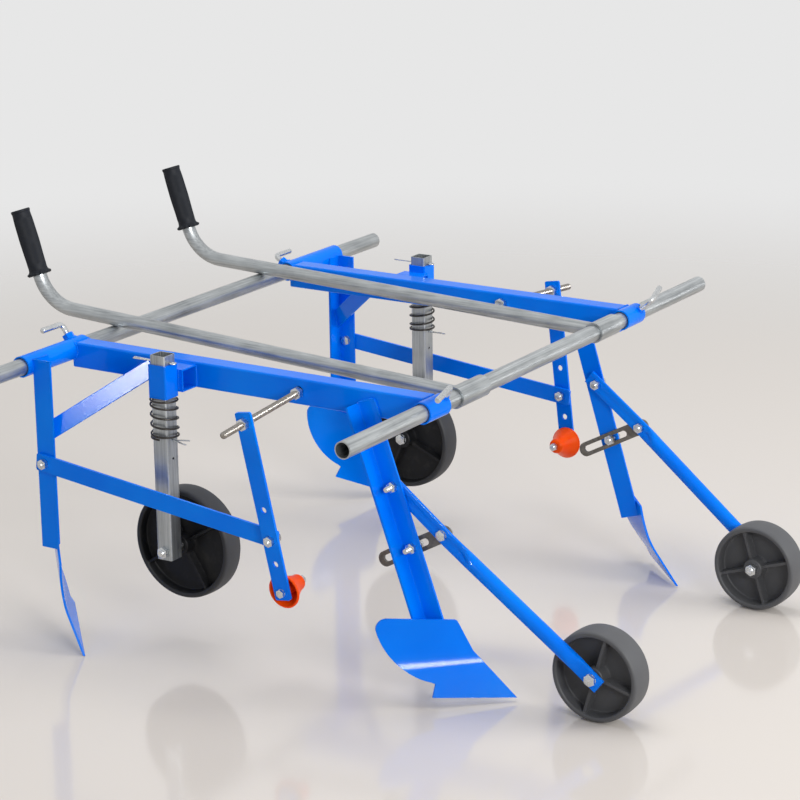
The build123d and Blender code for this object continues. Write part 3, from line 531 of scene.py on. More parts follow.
def armBolts(side):
    # front axle bolt, and the bolt that joins arm and slot bar
    flat, bar, low = armPlaces(side)
    pivot, armWay = armLine(side)
    thick, barThick = wheelArm["flatThick"], slotBar["thick"]
    axleGrip = thick + 2 * gap + 2 * frontWheel["hubHalf"]
    shells = boltShells(across(low + thick / 2, axle), -outWay, axleGrip, side["sign"], *fastener["axle"])
    outer = max(flat + thick / 2, bar + barThick / 2)
    inner = min(flat - thick / 2, bar - barThick / 2)
    barPin = across(outer, pivot + armWay * wheelArm["pinAt"])
    return shells + boltShells(barPin, -outWay, outer - inner, side["sign"])


def armShell(side):
    # a tube pressed flat at both ends: width and thickness ease from a grooved flat to a circle and a flat
    flat, _, low = armPlaces(side)
    pivot, armWay = armLine(side)
    stops = wheelArm["start"], *side["armFlat"], wheelArm["lowRound"], wheelArm["lowFlat"], wheelArm["end"]
    spans = zip(stops, stops[1:], (24, 20, 10, 20, 8))
    along = np.concatenate([np.linspace(a, b, n, endpoint=b == stops[-1]) for a, b, n in spans])
    upper = 1 - smooth(along, stops[1], stops[2] - stops[1])
    lower = smooth(along, stops[3], stops[4] - stops[3])
    flatness = np.maximum(upper, lower)[:, None]
    power = 1 - wheelArm["squareness"] * flatness
    angle, radius = roundAngles(64), wheelArm["radius"]
    wide, thick = (
        (radius + (wheelArm[size] / 2 - radius) * flatness) * np.sign(wave) * np.abs(wave) ** power
        for size, wave in (("flatWide", np.cos(angle)), ("flatThick", np.sin(angle)))
    )
    groove = wheelArm["crease"] * upper[:, None] * np.exp(-(wide / wheelArm["creaseMm"]) ** 2)
    place = flat + (low - flat) * np.clip((along - wheelArm["slantFrom"]) / wheelArm["slant"], 0, 1)
    square = np.array([0, -armWay[2], armWay[1]])
    points = pivot + along[:, None, None] * armWay + wide[..., None] * square
    points = points + (place[:, None] + thick * (1 - groove))[..., None] * outWay
    return cappedShell(points, points[[0, -1]].mean(1))


# Moulded wheels about X: rounded tread, deep dish, hub, four ribs; edges are steps from a radius and a face
wheelForm = {
    "rimDepth": 10, "web": 4, "hub": 17, "ribHalf": 2.6, "ribEdge": 0.9, "ribInset": 4, "bore": 6.3,
    "crown": 1.2, "crownEdge": 4, "segments": 720, "webInset": (3, 4), "ribPast": (0.5, 0.2),
    "hubTop": ((-4, 0), (-1.2, -0.3), (0, -1.4)), "hubFoot": ((0.6, 9), (1.2, 1.6), (1.8, 0.5)),
    "rimFoot": ((-2.8, 0.4), (-2, 1.4), (-1.5, 4)), "rimTop": ((-0.6, -3.2), (0.4, -1), (1.6, -0.1)),
    "treadEdge": ((-5.5, 0), (-3.8, -0.5), (-2.5, -1.6), (-1.7, -2.8)),
    "rimWorn": (0, 0, 0, 0.1, 0.35, 0.5, 0.55, 0.7, 0.9, 1),
}


def wheelShell(centre, wheel, ribTurn):
    # half profile of radius and distance from the middle plane, mirrored and turned, raised along the ribs
    radius, half, hubHalf = wheel["radius"], wheel["width"] / 2, wheel["hubHalf"]
    rim, web, hub = radius - wheelForm["rimDepth"], wheelForm["web"], wheelForm["hub"]
    (hubInset, rimInset), (ribIn, ribOut) = wheelForm["webInset"], wheelForm["ribPast"]
    webR = np.linspace(hub + hubInset, rim - rimInset, 12)
    treadX = np.linspace(half - wheelForm["crownEdge"], 0, 7)
    treadR = radius - wheelForm["crown"] * (treadX / treadX[0]) ** 2
    edges = {"hubTop": (hub, hubHalf), "hubFoot": (hub, web), "rimFoot": (rim, web), "rimTop": (rim, half),
             "treadEdge": (radius, half)}
    top, foot, *rest = (np.add(wheelForm[edge], place) for edge, place in edges.items())
    flat, tread = np.stack([webR, webR * 0 + web], -1), np.stack([treadR, treadX], -1)
    r, x = np.concatenate([[(wheelForm["bore"], hubHalf)], top, foot, flat, *rest, tread]).T
    # pale share from face to tread, scaled between each wheel's face and tread levels: rubbed wear and
    # painted light
    wornAndLit = np.r_[wheelForm["rimWorn"], treadR * 0 + 1]
    wornAndLit = np.pad(wornAndLit, (len(r) - len(wornAndLit), 0))
    wornAndLit = wheel["faceWearAndLight"] + (wheel["treadWearAndLight"] - wheel["faceWearAndLight"]) * wornAndLit
    r, x, wornAndLit = (np.r_[a, way * a[-2::-1], a[:1]] for a, way in ((r, 1), (x, -1), (wornAndLit, 1)))
    angle = roundAngles(wheelForm["segments"])
    fromRib = (angle - math.radians(ribTurn) + np.pi / 4) % (np.pi / 2) - np.pi / 4
    distance = np.abs(r[:, None] * np.sin(fromRib)[None])
    mask = 1 - smooth(distance, wheelForm["ribHalf"], wheelForm["ribEdge"])
    mask = mask * ((r > hub - ribIn) & (r < rim + ribOut))[:, None]
    rise = np.maximum(half - wheelForm["ribInset"] - np.abs(x)[:, None], 0) * mask
    offset = x[:, None] + np.sign(x)[:, None] * rise
    points = np.stack([offset, r[:, None] * np.sin(angle), -r[:, None] * np.cos(angle)], -1)
    return gridShell(points + centre), np.repeat(wornAndLit, len(angle))


# Rubber grips: scalloped guard, barrel body with fine flutes, a lip round the flat top; profile as height and
# radius, rows as two heights and a count, fades as start and span
gripForm = {
    "x": 221, "bendY": 874, "angle": 71.5, "start": 54.5, "length": 120, "tube": 12.5, "boreFoot": 0.6,
    "boreTop": 5, "topEdge": 14.5, "scallops": 14, "scallopMm": 0.9, "scallopRise": 0.7, "flutes": 64,
    "fluteMm": 0.16, "segments": 256, "play": 0.02, "rows": ((0, 16, 26), (16, 112, 50), (112, 119.6, 16)),
    "profile": ((0, 20.8), (1.5, 22.2), (4, 21.4), (6.5, 18.4), (9, 17), (14, 16.5), (30, 16.6), (62, 17.4),
                (95, 17), (110, 16.4), (114.5, 16.3), (116, 17.1), (118.6, 17.2), (119.6, 16.6)),
    "guardFade": (3, 5), "riseFade": (0, 12), "flutesIn": (14, 6), "flutesOut": (104, 6),
}


def gripShell(side):
    # radius along the grip eased through a few waypoints, waved round the guard and finely fluted on the body
    slope = (tubeZ + tubeRadius + gripForm["tube"] + gap - side["handleZ"]) / rearTubeY
    corner = np.array([gripForm["x"], gripForm["bendY"], side["handleZ"] + slope * gripForm["bendY"]])
    axis = leaned(backWay, upWay, gripForm["angle"])
    along = np.unique(np.concatenate([np.linspace(*span) for span in gripForm["rows"]]))
    radius = np.interp(along, *zip(*gripForm["profile"]))
    radius = np.convolve(np.pad(radius, 2, mode="edge"), np.ones(5) / 5, "valid") * 0.5 + radius * 0.5
    angle = roundAngles(gripForm["segments"])
    fades = ("guardFade", "riseFade", "flutesIn", "flutesOut")
    past, risen, fluted, plain = (smooth(along, *gripForm[fade])[:, None] for fade in fades)
    guard, body = 1 - past, fluted * (1 - plain)
    waves = np.cos(gripForm["scallops"] * angle)[None]
    flutes = gripForm["fluteMm"] * np.cos(gripForm["flutes"] * angle)[None]
    radii = radius[:, None] + guard * gripForm["scallopMm"] * (waves - 1) + body * flutes
    heights = along[:, None] + guard * gripForm["scallopRise"] * (1 + waves) * (1 - risen)
    ring = np.ones((1, len(angle)))
    bore, top = (gripForm["tube"] + gripForm["play"]) * ring, gripForm["length"] * ring
    boreTop = top - gripForm["boreTop"]
    radii = np.r_[0 * ring, bore, bore, radii, gripForm["topEdge"] * ring, 0 * ring]
    heights = np.r_[boreTop, boreTop, gripForm["boreFoot"] * ring, heights, top, top]
    return turnedShell(corner + axis * gripForm["start"], axis, radii, heights, len(angle))


# Press spring: closed end turns and an open middle; press wheel on its bolt through the post's foot
spring = {
    "x": 404.5, "y": 484, "bottom": 381.05, "top": 447.95, "radius": 22.6, "wire": 3.5,
    "turns": 5.5, "endTurns": 1, "endPitch": 4.2,
}
# press wheel: face left at the dark body colour and tread only partly paler, as painted shade
pressWheel = {
    "x": 352, "z": 182, "radius": 97, "width": 42, "hubHalf": 26, "faceWearAndLight": 0,
    "treadWearAndLight": 0.45, "postFaces": (389.5, 419.5), "bush": 10, "bushEdge": 0.4,
}


def springShell():
    # height rises by the end pitch over the end turns and evenly between them, eased where the pitch changes
    turns = np.linspace(-0.03, spring["turns"] + 0.03, 560)
    rise = spring["endPitch"] * spring["endTurns"]
    knots = [0, spring["endTurns"], spring["turns"] - spring["endTurns"], spring["turns"]]
    levels = [spring["bottom"], spring["bottom"] + rise, spring["top"] - rise, spring["top"]]
    kernel = np.hanning(41) / np.hanning(41).sum()
    height = np.pad(np.interp(turns, knots, levels), 20, mode="reflect", reflect_type="odd")
    height = np.convolve(height, kernel, "valid")
    angle = 2 * np.pi * turns
    radial = np.stack([np.cos(angle), np.sin(angle), angle * 0], -1)
    middle = np.stack([angle * 0 + spring["x"], angle * 0 + spring["y"], height], -1)
    return tubeShell(middle + radial * spring["radius"], spring["wire"] / 2, radial, 14)


def pressAxle(centre, hand):
    # the axle bolt, and the spacer bush between hub and post
    hubIn, hubOut = (pressWheel["x"] + way * (pressWheel["hubHalf"] + gap) for way in (-1, 1))
    postIn, postOut = pressWheel["postFaces"]
    radius, edge, length = pressWheel["bush"], pressWheel["bushEdge"], postIn - hubOut
    bush = turnedShell(across(hubOut, centre), outWay, [0, radius - edge, radius, radius, radius - edge, 0],
                       [0, 0, edge, length - edge, length, length])
    return boltShells(across(hubIn, centre), outWay, postOut - hubIn, hand, *fastener["axle"]) + [bush]


# Split pins through the post: a looped eye, two half-round legs; legs as length beyond the face, splay, drop
pin = {
    "reach": 15, "eye": 4.2, "wire": 1.25, "eyeWire": 1.35, "apart": 0.75,
    "top": {"z": 509.3, "way": 1, "legs": 44, "splay": 0.9, "drop": 0.6},
    "low": {"z": 377, "way": -1, "legs": 32, "splay": 5.4, "drop": 2},
}


def pinShells(one):
    # two wires from the eye through the post, bent apart beyond it, and a ring for the eye
    shells = []
    x, y, z, way = spring["x"], spring["y"], one["z"], one["way"]
    legStart, eyeStart = pin["reach"] + 1.5, -(pin["reach"] + 3)
    legEnd = pin["reach"] + one["legs"]
    s = np.r_[np.linspace(eyeStart, legStart, 24, endpoint=False), np.linspace(legStart, legEnd, 24)]
    parted = smooth(s, legStart, legEnd - legStart)
    for turn, share in ((-1, 0.7), (1, 1)):
        spread = turn * (pin["apart"] + one["splay"] * share * parted)
        path = np.stack([x + spread, y + way * s, z - turn * one["drop"] * parted], -1)
        shells.append(tubeShell(path, pin["wire"], upWay, 10))
    angle = np.linspace(0, 2 * np.pi, 40)
    eyeY = eyeStart - pin["eye"] + pin["eye"] * np.cos(angle)
    loop = np.stack([x + pin["eye"] * np.sin(angle), y + way * eyeY, angle * 0 + z], -1)
    return shells + [tubeShell(loop, pin["eyeWire"], upWay, 10)]


# Plough and cover sheets: a flat share creased below a hollow board, which eases out of the crease; the
# outline is in places along the edge and heights, and the bands are two heights and a count of rows
plate = {
    "thick": 4, "easeMm": (6, 19), "ease": 0.75, "shareTop": (55, -29),
    "boardMiddle": (98, -39), "boardTop": (142, -41.5), "ploughYaw": 46,
    "bladeYaw": 45, "bladeTurn": 16, "bladeRake": -6, "bladeTip": (500, 599, 0),
    "nose": ((0, 0), (63, 74), (85, 121), (87.2, 125), (91, 127)), "edge": ((0, 0), (139, 12)),
    "flank": ((131, 32), (193, 67)), "heel": (222, 121), "shoulder": (217, 135), "top": (204, 139.5),
    "bands": ((0, 12, 14), (12, 55, 16), (55, 85, 36), (85, 121, 16), (121, 127, 8), (127, 139.5, 30)),
}


def arcThrough(a, b, c, count):
    # points on the circle through three points, from the first past the second to the third
    a, b, c = (complex(*p) for p in (a, b, c))
    w = (c - a) / (b - a)
    centre = a + (b - a) * (w - abs(w) ** 2) / (2j * w.imag)
    start, turn = np.angle(a - centre), np.angle((c - centre) / (a - centre))
    spot = centre + abs(a - centre) * np.exp(1j * (start + np.linspace(0, turn, count)))
    return np.stack([spot.real, spot.imag], -1)


def plateShell(tip, edgeWay, riseWay, faceWay):
    # rows at rising heights span the sheet's outline; depth is the share's line, then the board's arc plus
    # a slope that dies away above the crease, over a length that grows from tip to tail
    heel, top = plate["heel"], plate["top"]
    leftU, leftV = np.array([*plate["nose"], top]).T
    flank, shoulder = arcThrough(*plate["flank"], heel, 24), arcThrough(heel, plate["shoulder"], top, 16)
    rightU, rightV = np.concatenate([plate["edge"], flank, shoulder[1:]]).T
    rows = [np.linspace(*band, endpoint=False) for band in plate["bands"]]
    v = np.concatenate([*rows, top[1:]])[:, None]
    left, right = np.interp(v, leftV, leftU), np.interp(v, np.maximum.accumulate(rightV), rightU)
    u = left + (right - left) * np.linspace(0, 1, 30)[None]
    creaseV, creaseD = plate["shareTop"]
    board = arcThrough(plate["shareTop"], plate["boardMiddle"], plate["boardTop"], 60)
    depth = np.interp(v, np.r_[0, board[:, 0]], np.r_[0, board[:, 1]])
    boardSlope = (board[1, 1] - board[0, 1]) / (board[1, 0] - board[0, 0])
    bend = plate["ease"] * (creaseD / creaseV - boardSlope)
    easeTip, easeTail = plate["easeMm"]
    reach = easeTip + (easeTail - easeTip) * u / heel[0]
    depth = depth + bend * reach * (1 - np.exp(-np.maximum(v - creaseV, 0) / reach))
    u = np.concatenate([u, u[:, ::-1]], 1)
    depth = np.concatenate([depth, depth[:, ::-1] - plate["thick"]], 1)
    local = u[..., None] * edgeWay + (v + 0 * u)[..., None] * riseWay + depth[..., None] * faceWay
    return gridShell(tip + local)


def ploughShell(side):
    # the share's edge runs back and outboard from the tip
    yaw = plate["ploughYaw"]
    return plateShell(side["ploughTip"], leaned(backWay, outWay, yaw), upWay, leaned(outWay, -backWay, yaw))


def bladeShell():
    # the same sheet handed over, its edge running back and inboard, turned in its plane and raked
    yaw, turn, rake = (plate[k] for k in ("bladeYaw", "bladeTurn", "bladeRake"))
    along, ahead = leaned(backWay, -outWay, yaw), leaned(-outWay, -backWay, yaw)
    rise, face = leaned(upWay, -ahead, rake), leaned(ahead, upWay, rake)
    return plateShell(plate["bladeTip"], leaned(along, rise, turn), leaned(rise, -along, turn), face)


# Leg brace: a flat bar between beam and leg, its face leaning back a little
brace = {
    "start": (347, 552, 476), "end": (448, 708, 362), "wide": 30, "thick": 5,
    "lean": 18, "corner": 0.8,
}


def braceWays():
    # along the bar, square to its face, and across its width
    along = unit(np.subtract(brace["end"], brace["start"]))
    flank = unit(np.cross(along, upWay))
    edge = np.cross(flank, along)
    return along, leaned(flank, edge, brace["lean"]), leaned(edge, -flank, brace["lean"])


def braceShell():
    # a rectangle with small chamfers carried along the bar, each line of it cut off at the beam and the leg
    along, face, edge = braceWays()
    w, t, c = brace["wide"] / 2, brace["thick"] / 2, brace["corner"]
    wide = np.array([w, w, w - c, c - w, -w, -w, c - w, w - c])
    thick = np.array([c - t, t - c, t, t, t - c, c - t, -t, -t])
    lines = np.array(brace["start"]) + wide[:, None] * edge + thick[:, None] * face
    first = (brace["start"][0] - lines[:, 0]) / along[0]
    last = (brace["end"][1] - lines[:, 1]) / along[1]
    reach = first + (last - first) * np.linspace(0, 1, 16)[:, None]
    points = lines + reach[..., None] * along
    return cappedShell(points, points[[0, -1]].mean(1))


# Film cones: a hollow bell with a wide rim, a flank that curves in and a rounded nose, on a thin bolt
cone = {
    "rim": 29, "nose": 14, "length": 46, "wall": 3, "bore": 4.45, "off": 3.5, "noseRound": 7,
    "flare": 1.45, "flankFrom": 4.2, "boltMm": 4, "flatsMm": 13, "boltPlay": 1, "flankIn": 1.5,
    "lip": ((-3, 0), (-0.6, 0), (0, 0.7), (0, 2.6), (-0.7, 3.4)), "floor": 2, "noseWall": 8,
}


def coneShell():
    # outer flank falls from rim to nose as a power of the way left, then the inside comes back a wall thinner
    rim, nose, length, noseRound = (cone[k] for k in ("rim", "nose", "length", "noseRound"))
    bore, wall, flankFrom, floor = (cone[k] for k in ("bore", "wall", "flankFrom", "floor"))
    lipR, lipZ = np.add(cone["lip"], (rim, 0)).T
    way = np.linspace(0, 1, 26)
    flankZ = flankFrom + (length - noseRound - flankFrom) * way
    flankR = nose + (rim - cone["flankIn"] - nose) * (1 - way) ** cone["flare"]
    bend = np.linspace(0, np.pi / 2, 8)[1:]
    noseR, noseZ = nose - noseRound * (1 - np.cos(bend)), length - noseRound * (1 - np.sin(bend))
    innerR = np.maximum(flankR[::-1] - wall, bore + wall)
    innerZ = np.minimum(flankZ[::-1] - floor, length - cone["noseWall"])
    r = np.r_[lipR, flankR, noseR, bore, bore, bore + wall, innerR[1:], lipR[0]]
    z = np.r_[lipZ, flankZ, noseZ, length, floor, floor, innerZ[1:], lipZ[0]]
    base = armTop + armDown * filmRod["coneHole"] - rodAxis * cone["off"]
    return turnedShell(base, -rodAxis, r, z, 72)


def coneBolt(hand):
    # its head lies on the arm's outer face and its nut beyond the cone's nose
    head = armTop + armDown * filmRod["coneHole"] + rodAxis * filmRod["flat"] / 2
    grip = filmRod["flat"] + cone["boltPlay"] + cone["length"] + gap
    return boltShells(head, -rodAxis, grip, hand, cone["boltMm"], cone["flatsMm"])


# Clamp screws: a threaded shank, a tight bend and a plain arm with a chamfered end
clamp = {
    "radius": 5, "bend": 8, "pitch": 1.5, "foot": 14.55, "nutBead": 10.4, "threaded": 0.75,
    "depth": 0.5, "chamfer": 0.8,
}


def screwWays(screw):
    # up the shank, square to it round the tube, and out along the arm
    up, square = leaned(upWay, backWay, screw["tilt"]), leaned(-backWay, upWay, screw["tilt"])
    return up, square, leaned(outWay, square, screw["swing"])


def clampShell(y, screw, hand):
    # the path is straight, a quarter arc, straight; the radius waves as a thread on the shank
    up, _, out = screwWays(screw)
    foot = np.array([screw["x"], y, tubeZ]) + up * clamp["foot"]
    shank = screw["reach"] - clamp["foot"] - clamp["bend"]
    rows = max(int(shank / clamp["pitch"] * thread["rowsPerPitch"]), 8)
    bend = np.linspace(0, np.pi / 2, 14)[1:, None]
    straight = np.linspace(0, shank, rows)[:, None]
    corner = foot + up * shank + clamp["bend"] * (np.sin(bend) * up + (1 - np.cos(bend)) * out)
    steps = np.array([0.1, 0.5, 0.9, 0.97, 1])[:, None]
    rest = corner[-1] + steps * (screw["arm"] - clamp["bend"]) * out
    path = np.r_[foot + straight * up, corner, rest]
    travelled = lengthAlong(path)
    threaded = (travelled < shank * clamp["threaded"])[:, None]
    radii = clamp["radius"] - clamp["depth"] * threadWave(travelled, clamp["pitch"], hand, 20) * threaded
    radii[-1] -= clamp["chamfer"]
    return tubeShell(path, radii, np.cross(up, out), 20)


# Weld beads: a low ripple along a seam; wraps are first and last angle and points round a sleeve, straight
# seams two ends and a radius
weld = {
    "radius": 2.6, "ripple": 0.35, "rippleMm": 3.2, "stepMm": 0.8, "endMm": 3, "sleeve": 18.4,
    "frontWrap": (34, -44, 22), "rearWrap": (52.6, -64, 30), "rearSeams": (347, 309),
    "frontEnd": (346.5, 13.6, 497.4), "frontRadius": 3,
    "seams": (((309.5, 716.9, 498.7), (346.5, 716.9, 498.7), 2.2),
              ((347.2, 459, 494.4), (347.2, 509, 494.4), 1.8)),
    "guide": ((347.4, 458), (347.4, 510), (386.6, 466), (386.6, 502)), "guideZ": (457, 494),
    "guideRadius": 2, "rearLeg": (428, 462, 711.4), "rearLegZ": 474.6, "rearLegRadius": 2.2,
    "legX": 349, "legSeams": (((-1, 0), (29, 0)), ((-1, 36), (18, 36)), ((-3, 2), (-3, 34))),
    "braceRadius": 2.2, "braceOff": 3, "braceHalf": 14, "braceShift": 0.6, "nutRadius": 2,
    "handleRadius": 1.9, "handleTube": 12.8, "handleSleeve": 18.2, "handleNear": 9,
}


def beadShell(points, radius=weld["radius"]):
    # the seam is resampled finely, and the bead's radius swells once per ripple
    points = np.asarray(points, float)
    steps = lengthAlong(points)
    s = np.linspace(0, steps[-1], max(int(steps[-1] / weld["stepMm"]), 6))
    path = np.stack([np.interp(s, steps, points[:, i]) for i in range(3)], -1)
    size = radius * (1 - weld["ripple"] * np.sin(np.pi * s / weld["rippleMm"]) ** 2)
    size = size * (0.5 + 0.5 * smooth(np.minimum(s, s[-1] - s), 0, weld["endMm"]))
    chord = points[-1] - points[0]
    way = unit(chord) if np.linalg.norm(chord) > 1 else np.array([0.3, 0.5, 0.8])
    return tubeShell(path, size, unit(np.cross(way, (0.31, 0.22, 0.93))), 10)


def frameWelds(side):
    # seams round the sleeves, straight ones, and a ring round the rear clamp nut
    ring, screw, shells = weld["sleeve"], side["rearScrew"], []
    wraps = [(x, 0, 1, weld["frontWrap"]) for x in side["frontSeams"]]
    wraps += [(x, rearTubeY, -1, weld["rearWrap"]) for x in weld["rearSeams"]]
    for x, y, way, span in wraps:
        turn = np.radians(np.linspace(*span))
        seam = [turn * 0 + x, y + way * ring * np.cos(turn), tubeZ + ring * np.sin(turn)]
        shells.append(beadShell(np.stack(seam, -1)))
    end, (low, high), (inX, outX, y) = (weld[k] for k in ("frontEnd", "guideZ", "rearLeg"))
    seams = [(across(side["frontWeldX"], end), end, weld["frontRadius"]), *weld["seams"]]
    seams += [((x, back, low), (x, back, high), weld["guideRadius"]) for x, back in weld["guide"]]
    for z in (weld["rearLegZ"], side["legWeldZ"]):
        seams.append(((inX, y, z), (outX, y, z), weld["rearLegRadius"]))
    legDown, legBack = legWays(side)
    for ends in weld["legSeams"]:
        ends = [across(weld["legX"], legTop) + legDown * down + legBack * back for down, back in ends]
        seams.append((*ends, weld["radius"]))
    along, face, edge = braceWays()
    half, shift = weld["braceHalf"], weld["braceShift"]
    for place, cut, way in ((brace["start"], 0, 1), (brace["end"], 1, -1)):
        for turn in (-1, 1):
            ends = np.array(place) + face * weld["braceOff"] * turn + np.outer((-half, half), edge)
            ends = ends + np.outer((place[cut] + way * shift - ends[:, cut]) / along[cut], along)
            seams.append((*ends, weld["braceRadius"]))
    shells += [beadShell(ends, radius) for *ends, radius in seams]
    up, square, _ = screwWays(screw)
    turn, bead = np.linspace(0, 2 * np.pi, 60)[:, None], clamp["nutBead"]
    circle = bead * np.cos(turn) * outWay + bead * np.sin(turn) * square
    saddle = np.sqrt(ring ** 2 - (bead * np.sin(turn)) ** 2) * up
    return shells + [beadShell((screw["x"], rearTubeY, tubeZ) + circle + saddle, weld["nutRadius"])]


def handleWeld(side):
    # seam where the handle tube meets its sleeve, kept at the tube's end below the sleeve
    turn, bead = np.linspace(0, 2 * np.pi, 72), weld["handleTube"]
    z = side["handleZ"] + bead * np.sin(turn)
    y = np.sqrt(np.maximum(weld["handleSleeve"] ** 2 - (z - tubeZ) ** 2, weld["handleNear"] ** 2))
    return [beadShell(np.stack([gripForm["x"] + bead * np.cos(turn), y, z], -1), weld["handleRadius"])]


painted, plated, moulded = (blue, "blue_paint"), (brightZinc, "zinc_steel"), (wheelMaterial, "grey_plastic")
for side in sides:
    label, sign = side["name"], side["sign"]

    def piece(name, shells, body, finish, *replaced, **more):
        return makePiece(label + "_" + name, shells, sign, label + "_" + body, finish,
                         [label + "_" + r for r in replaced], **more)

    rodEnds = [rodStart + rodAxis * reach for reach in filmRod["reach"]]
    piece("threaded_film_rod", [threadedShell(*rodEnds, filmRod["radius"], thread["rodPitch"], sign, 24)],
          "frame", (plainThread, "zinc_steel"), "film_rod", sharp=80)
    piece("frame_bolts", frameBolts(side), "frame", plated, "frame_fasteners")
    piece("cone_axle", coneBolt(sign), "frame", plated, "cone_bolt")
    piece("bell_cone", [coneShell()], "cone", (orange, "orange_plastic"), "film_cone", sharp=50)
    piece("arm_bolts", armBolts(side), "wheel_arm", plated, "wheel_arm_bolts")
    piece("pressed_arm", [armShell(side)], "wheel_arm", painted, "wheel_arm", sharp=50)
    _, _, low = armPlaces(side)
    frontCentre = across(low - wheelArm["flatThick"] / 2 - gap - frontWheel["hubHalf"], axle)
    shell, wear = wheelShell(frontCentre, frontWheel, side["frontRibs"])
    piece("front_roller", [shell], "front_wheel", moulded, "front_wheel", wear=wear)
    pressCentre = np.array([pressWheel["x"], spring["y"], pressWheel["z"]])
    shell, wear = wheelShell(pressCentre, pressWheel, side["pressRibs"])
    piece("press_roller", [shell], "press_wheel", moulded, "press_wheel", wear=wear)
    piece("press_axle", pressAxle(pressCentre, sign), "post", plated, "press_axle_bolt")
    piece("split_pins", pinShells(pin["top"]) + pinShells(pin["low"]), "post", plated, "post_pins", sharp=60)
    coil = piece("coil_spring", [springShell()], "frame", (springWire, "spring_steel"), "press_spring",
                 sharp=60)
    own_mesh(coil)
    piece("rubber_grip", [gripShell(side)], "handle", (blackRubber, "black_rubber"), "grip", sharp=40)
    for end, y in (("front", 0), ("rear", rearTubeY)):
        piece(end + "_lock_screw", [clampShell(y, side[end + "Screw"], sign)], end + "_clamp", plated,
              end + "_clamp_screw", sharp=60)
    piece("bent_plough", [ploughShell(side)], "frame", painted, "plough")
    piece("bent_blade", [bladeShell()], "frame", painted, "cover_blade")
    piece("brace_bar", [braceShell()], "frame", painted, "leg_brace", sharp=25)
    piece("frame_welds", frameWelds(side), "frame", painted, sharp=60)
    piece("leg_root", [legRootShell(side)], "frame", painted)
    piece("handle_weld", handleWeld(side), "handle", (zincAcross, "galvanised_steel"), sharp=60)
    print(label, "side dressed")

# Camera, fitted to the photograph's straight edges
camera = {
    "azimuth": -57.49, "elevation": 16.20, "roll": -0.81, "focalPixels": 2718.0,
    "place": (-3837.7, -2167.2, 1693.3), "pixels": 800, "sensorMm": 36.0,
}
azimuth, elevation, roll = (math.radians(camera[k]) for k in ("azimuth", "elevation", "roll"))
# It looks straight down until it is rolled, tipped up towards the horizon and spun round to its azimuth
turns = ((azimuth, "Z"), (math.pi / 2 - elevation, "X"), (roll, "Z"))
spin, tip, twist = (Matrix.Rotation(angle, 4, axis) for angle, axis in turns)
cameraData = bpy.data.cameras.new("Camera")
cameraData.lens = camera["sensorMm"] * camera["focalPixels"] / camera["pixels"]
cameraData.sensor_width = camera["sensorMm"]
cameraData.clip_end = 100
cameraObject = addObject("Camera", cameraData)
place = Vector((camera["place"][0], camera["place"][1] + frontY, camera["place"][2])) / 1000
cameraObject.matrix_world = Matrix.Translation(place) @ spin @ tip @ twist
bpy.context.scene.camera = cameraObject

# Pale polished floor that fades out into pale surroundings, and large soft lamps
stage = {
    "floor": "#E0D9D2", "wall": "#E7E7E7", "floorRoughness": 0.1, "halfSize": 14.0, "under": 0.0005,
    "fadeFrom": 1.5, "fadeTo": 3.8, "worldStrength": 0.45,
}


def floorPlane():
    # one large square grid just below height 0, see-through beyond a circle so that it melts into the
    # surroundings
    side = np.linspace(-stage["halfSize"], stage["halfSize"], 9)
    x, y = np.meshgrid(side, side, indexing="ij")
    points, quads = gridShell(np.stack([x, y, x * 0 - stage["under"]], -1), wrap=False)
    mesh = bpy.data.meshes.new("Floor")
    mesh.from_pydata(points.tolist(), [], quads.tolist())
    material, tree, shader, coords = newMaterial("PolishedPaleFloor", {
        "Base Color": linear(stage["floor"]), "Roughness": stage["floorRoughness"],
    })
    radius = addNode(tree, "VectorMath", {"operation": "LENGTH"}, {0: coords})
    fade = addNode(tree, "MapRange", {
        "From Min": stage["fadeFrom"], "From Max": stage["fadeTo"], "interpolation_type": "SMOOTHSTEP",
    }, {"Value": radius["Value"]})
    clear = addNode(tree, "BsdfTransparent")
    blend = addNode(tree, "MixShader", links={0: fade["Result"], 1: shader.outputs[0], 2: clear[0]})
    feed(tree, tree.nodes["Material Output"], {"Surface": blend[0]})
    mesh.materials.append(material)
    floor = addObject("Floor", mesh)
    return floor


def lightGroup(name, members):
    # a collection of what a card lights
    group = bpy.data.collections.new(name)
    for member in members:
        group.objects.link(member)
    return group


def softLamp(name, place, aim, size, watts, lights=None):
    # a rectangle of light aimed at a point: a lamp gives no gloss, a card only gloss, on what it lights
    data = bpy.data.lights.new(name, "AREA")
    data.shape = "RECTANGLE"
    data.size, data.size_y = size
    data.energy = watts
    lamp = addObject(name, data)
    facing = (Vector(place) - Vector(aim)).to_track_quat("Z", "Y").to_matrix().to_4x4()
    lamp.matrix_world = Matrix.Translation(place) @ facing
    lamp.visible_diffuse, lamp.visible_glossy = lights is None, lights is not None
    if lights:
        lamp.light_linking.receiver_collection = lights


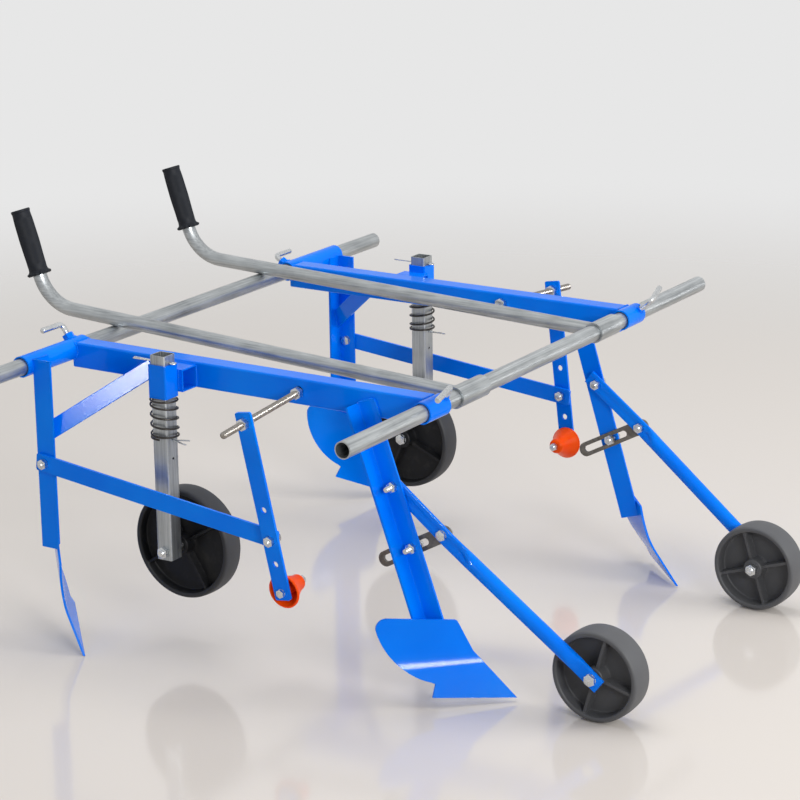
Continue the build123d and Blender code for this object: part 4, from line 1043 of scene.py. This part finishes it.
notFloor = lightGroup("NotFloor", [floorPlane()])
notFloor.collection_objects[0].light_linking.link_state = "EXCLUDE"
frontTubes = "front_cross_tube", "left_handle_sleeve", "right_handle_sleeve"
frontZinc = lightGroup("FrontZinc", [nodes[tube] for tube in frontTubes])
leftBars = lightGroup("LeftBars", [bpy.data.objects[bar] for bar in ("left_brace_bar", "left_pressed_arm")])
softLamp("WindowLamp", (-2.43, -3.95, 1.8), (-0.3, -0.3, 0.2), (1.6, 0.55), 80)
softLamp("TopLamp", (0.2, 0.4, 4.2), (0, 0, 0.3), (3.2, 3.2), 85)
softLamp("FillLamp", (1.6, -4.2, 2.0), (0, 0, 0.3), (2.4, 2.4), 98)
softLamp("WindowCard", (-2.43, -3.95, 1.8), (-0.3, -0.3, 0.2), (1.6, 0.6), 250, notFloor)
softLamp("SideCard", (-4.52, -0.33, 1.68), (-0.38, 0.1, 0.4), (0.36, 0.5), 75, leftBars)
softLamp("ArmCard", (-4.3, -0.58, 2.2), (-0.35, -0.27, 0.3), (0.45, 0.9), 110, leftBars)
softLamp("TopCard", (0.2, 0.4, 4.2), (0, 0, 0.3), (3.2, 3.2), 85, notFloor)
softLamp("FillCard", (1.6, -4.2, 2.0), (0, 0, 0.3), (2.4, 2.4), 60, notFloor)
softLamp("TubeCard", (3.78, -0.04, 2.91), (0, -0.29, 0.48), (1.6, 1.6), 6, frontZinc)
softLamp("TubeStrip", (3.78, -2.73, 0.49), (0, -0.29, 0.48), (1.6, 0.3), 7, frontZinc)
world = bpy.data.worlds.new("PaleRoom")
world.use_nodes = True
tree = world.node_tree
backdrop = tree.nodes["Background"]
backdrop.inputs["Color"].default_value = linear(stage["wall"])
rays = addNode(tree, "LightPath")
seen = addNode(tree, "Math", {"operation": "MAXIMUM"}, {0: rays["Is Camera Ray"], 1: rays["Is Glossy Ray"]})
shown = addNode(tree, "Math", {"operation": "MAXIMUM"}, {0: seen["Value"], 1: rays["Is Transmission Ray"]})
strength = addNode(tree, "MapRange", {"To Min": stage["worldStrength"], "To Max": 1.0},
                   {"Value": shown["Value"]})
feed(tree, backdrop, {"Strength": strength["Result"]})
bpy.context.scene.world = world
bpy.context.scene.view_settings.view_transform = "Standard"
print("camera, floor and lamps set")
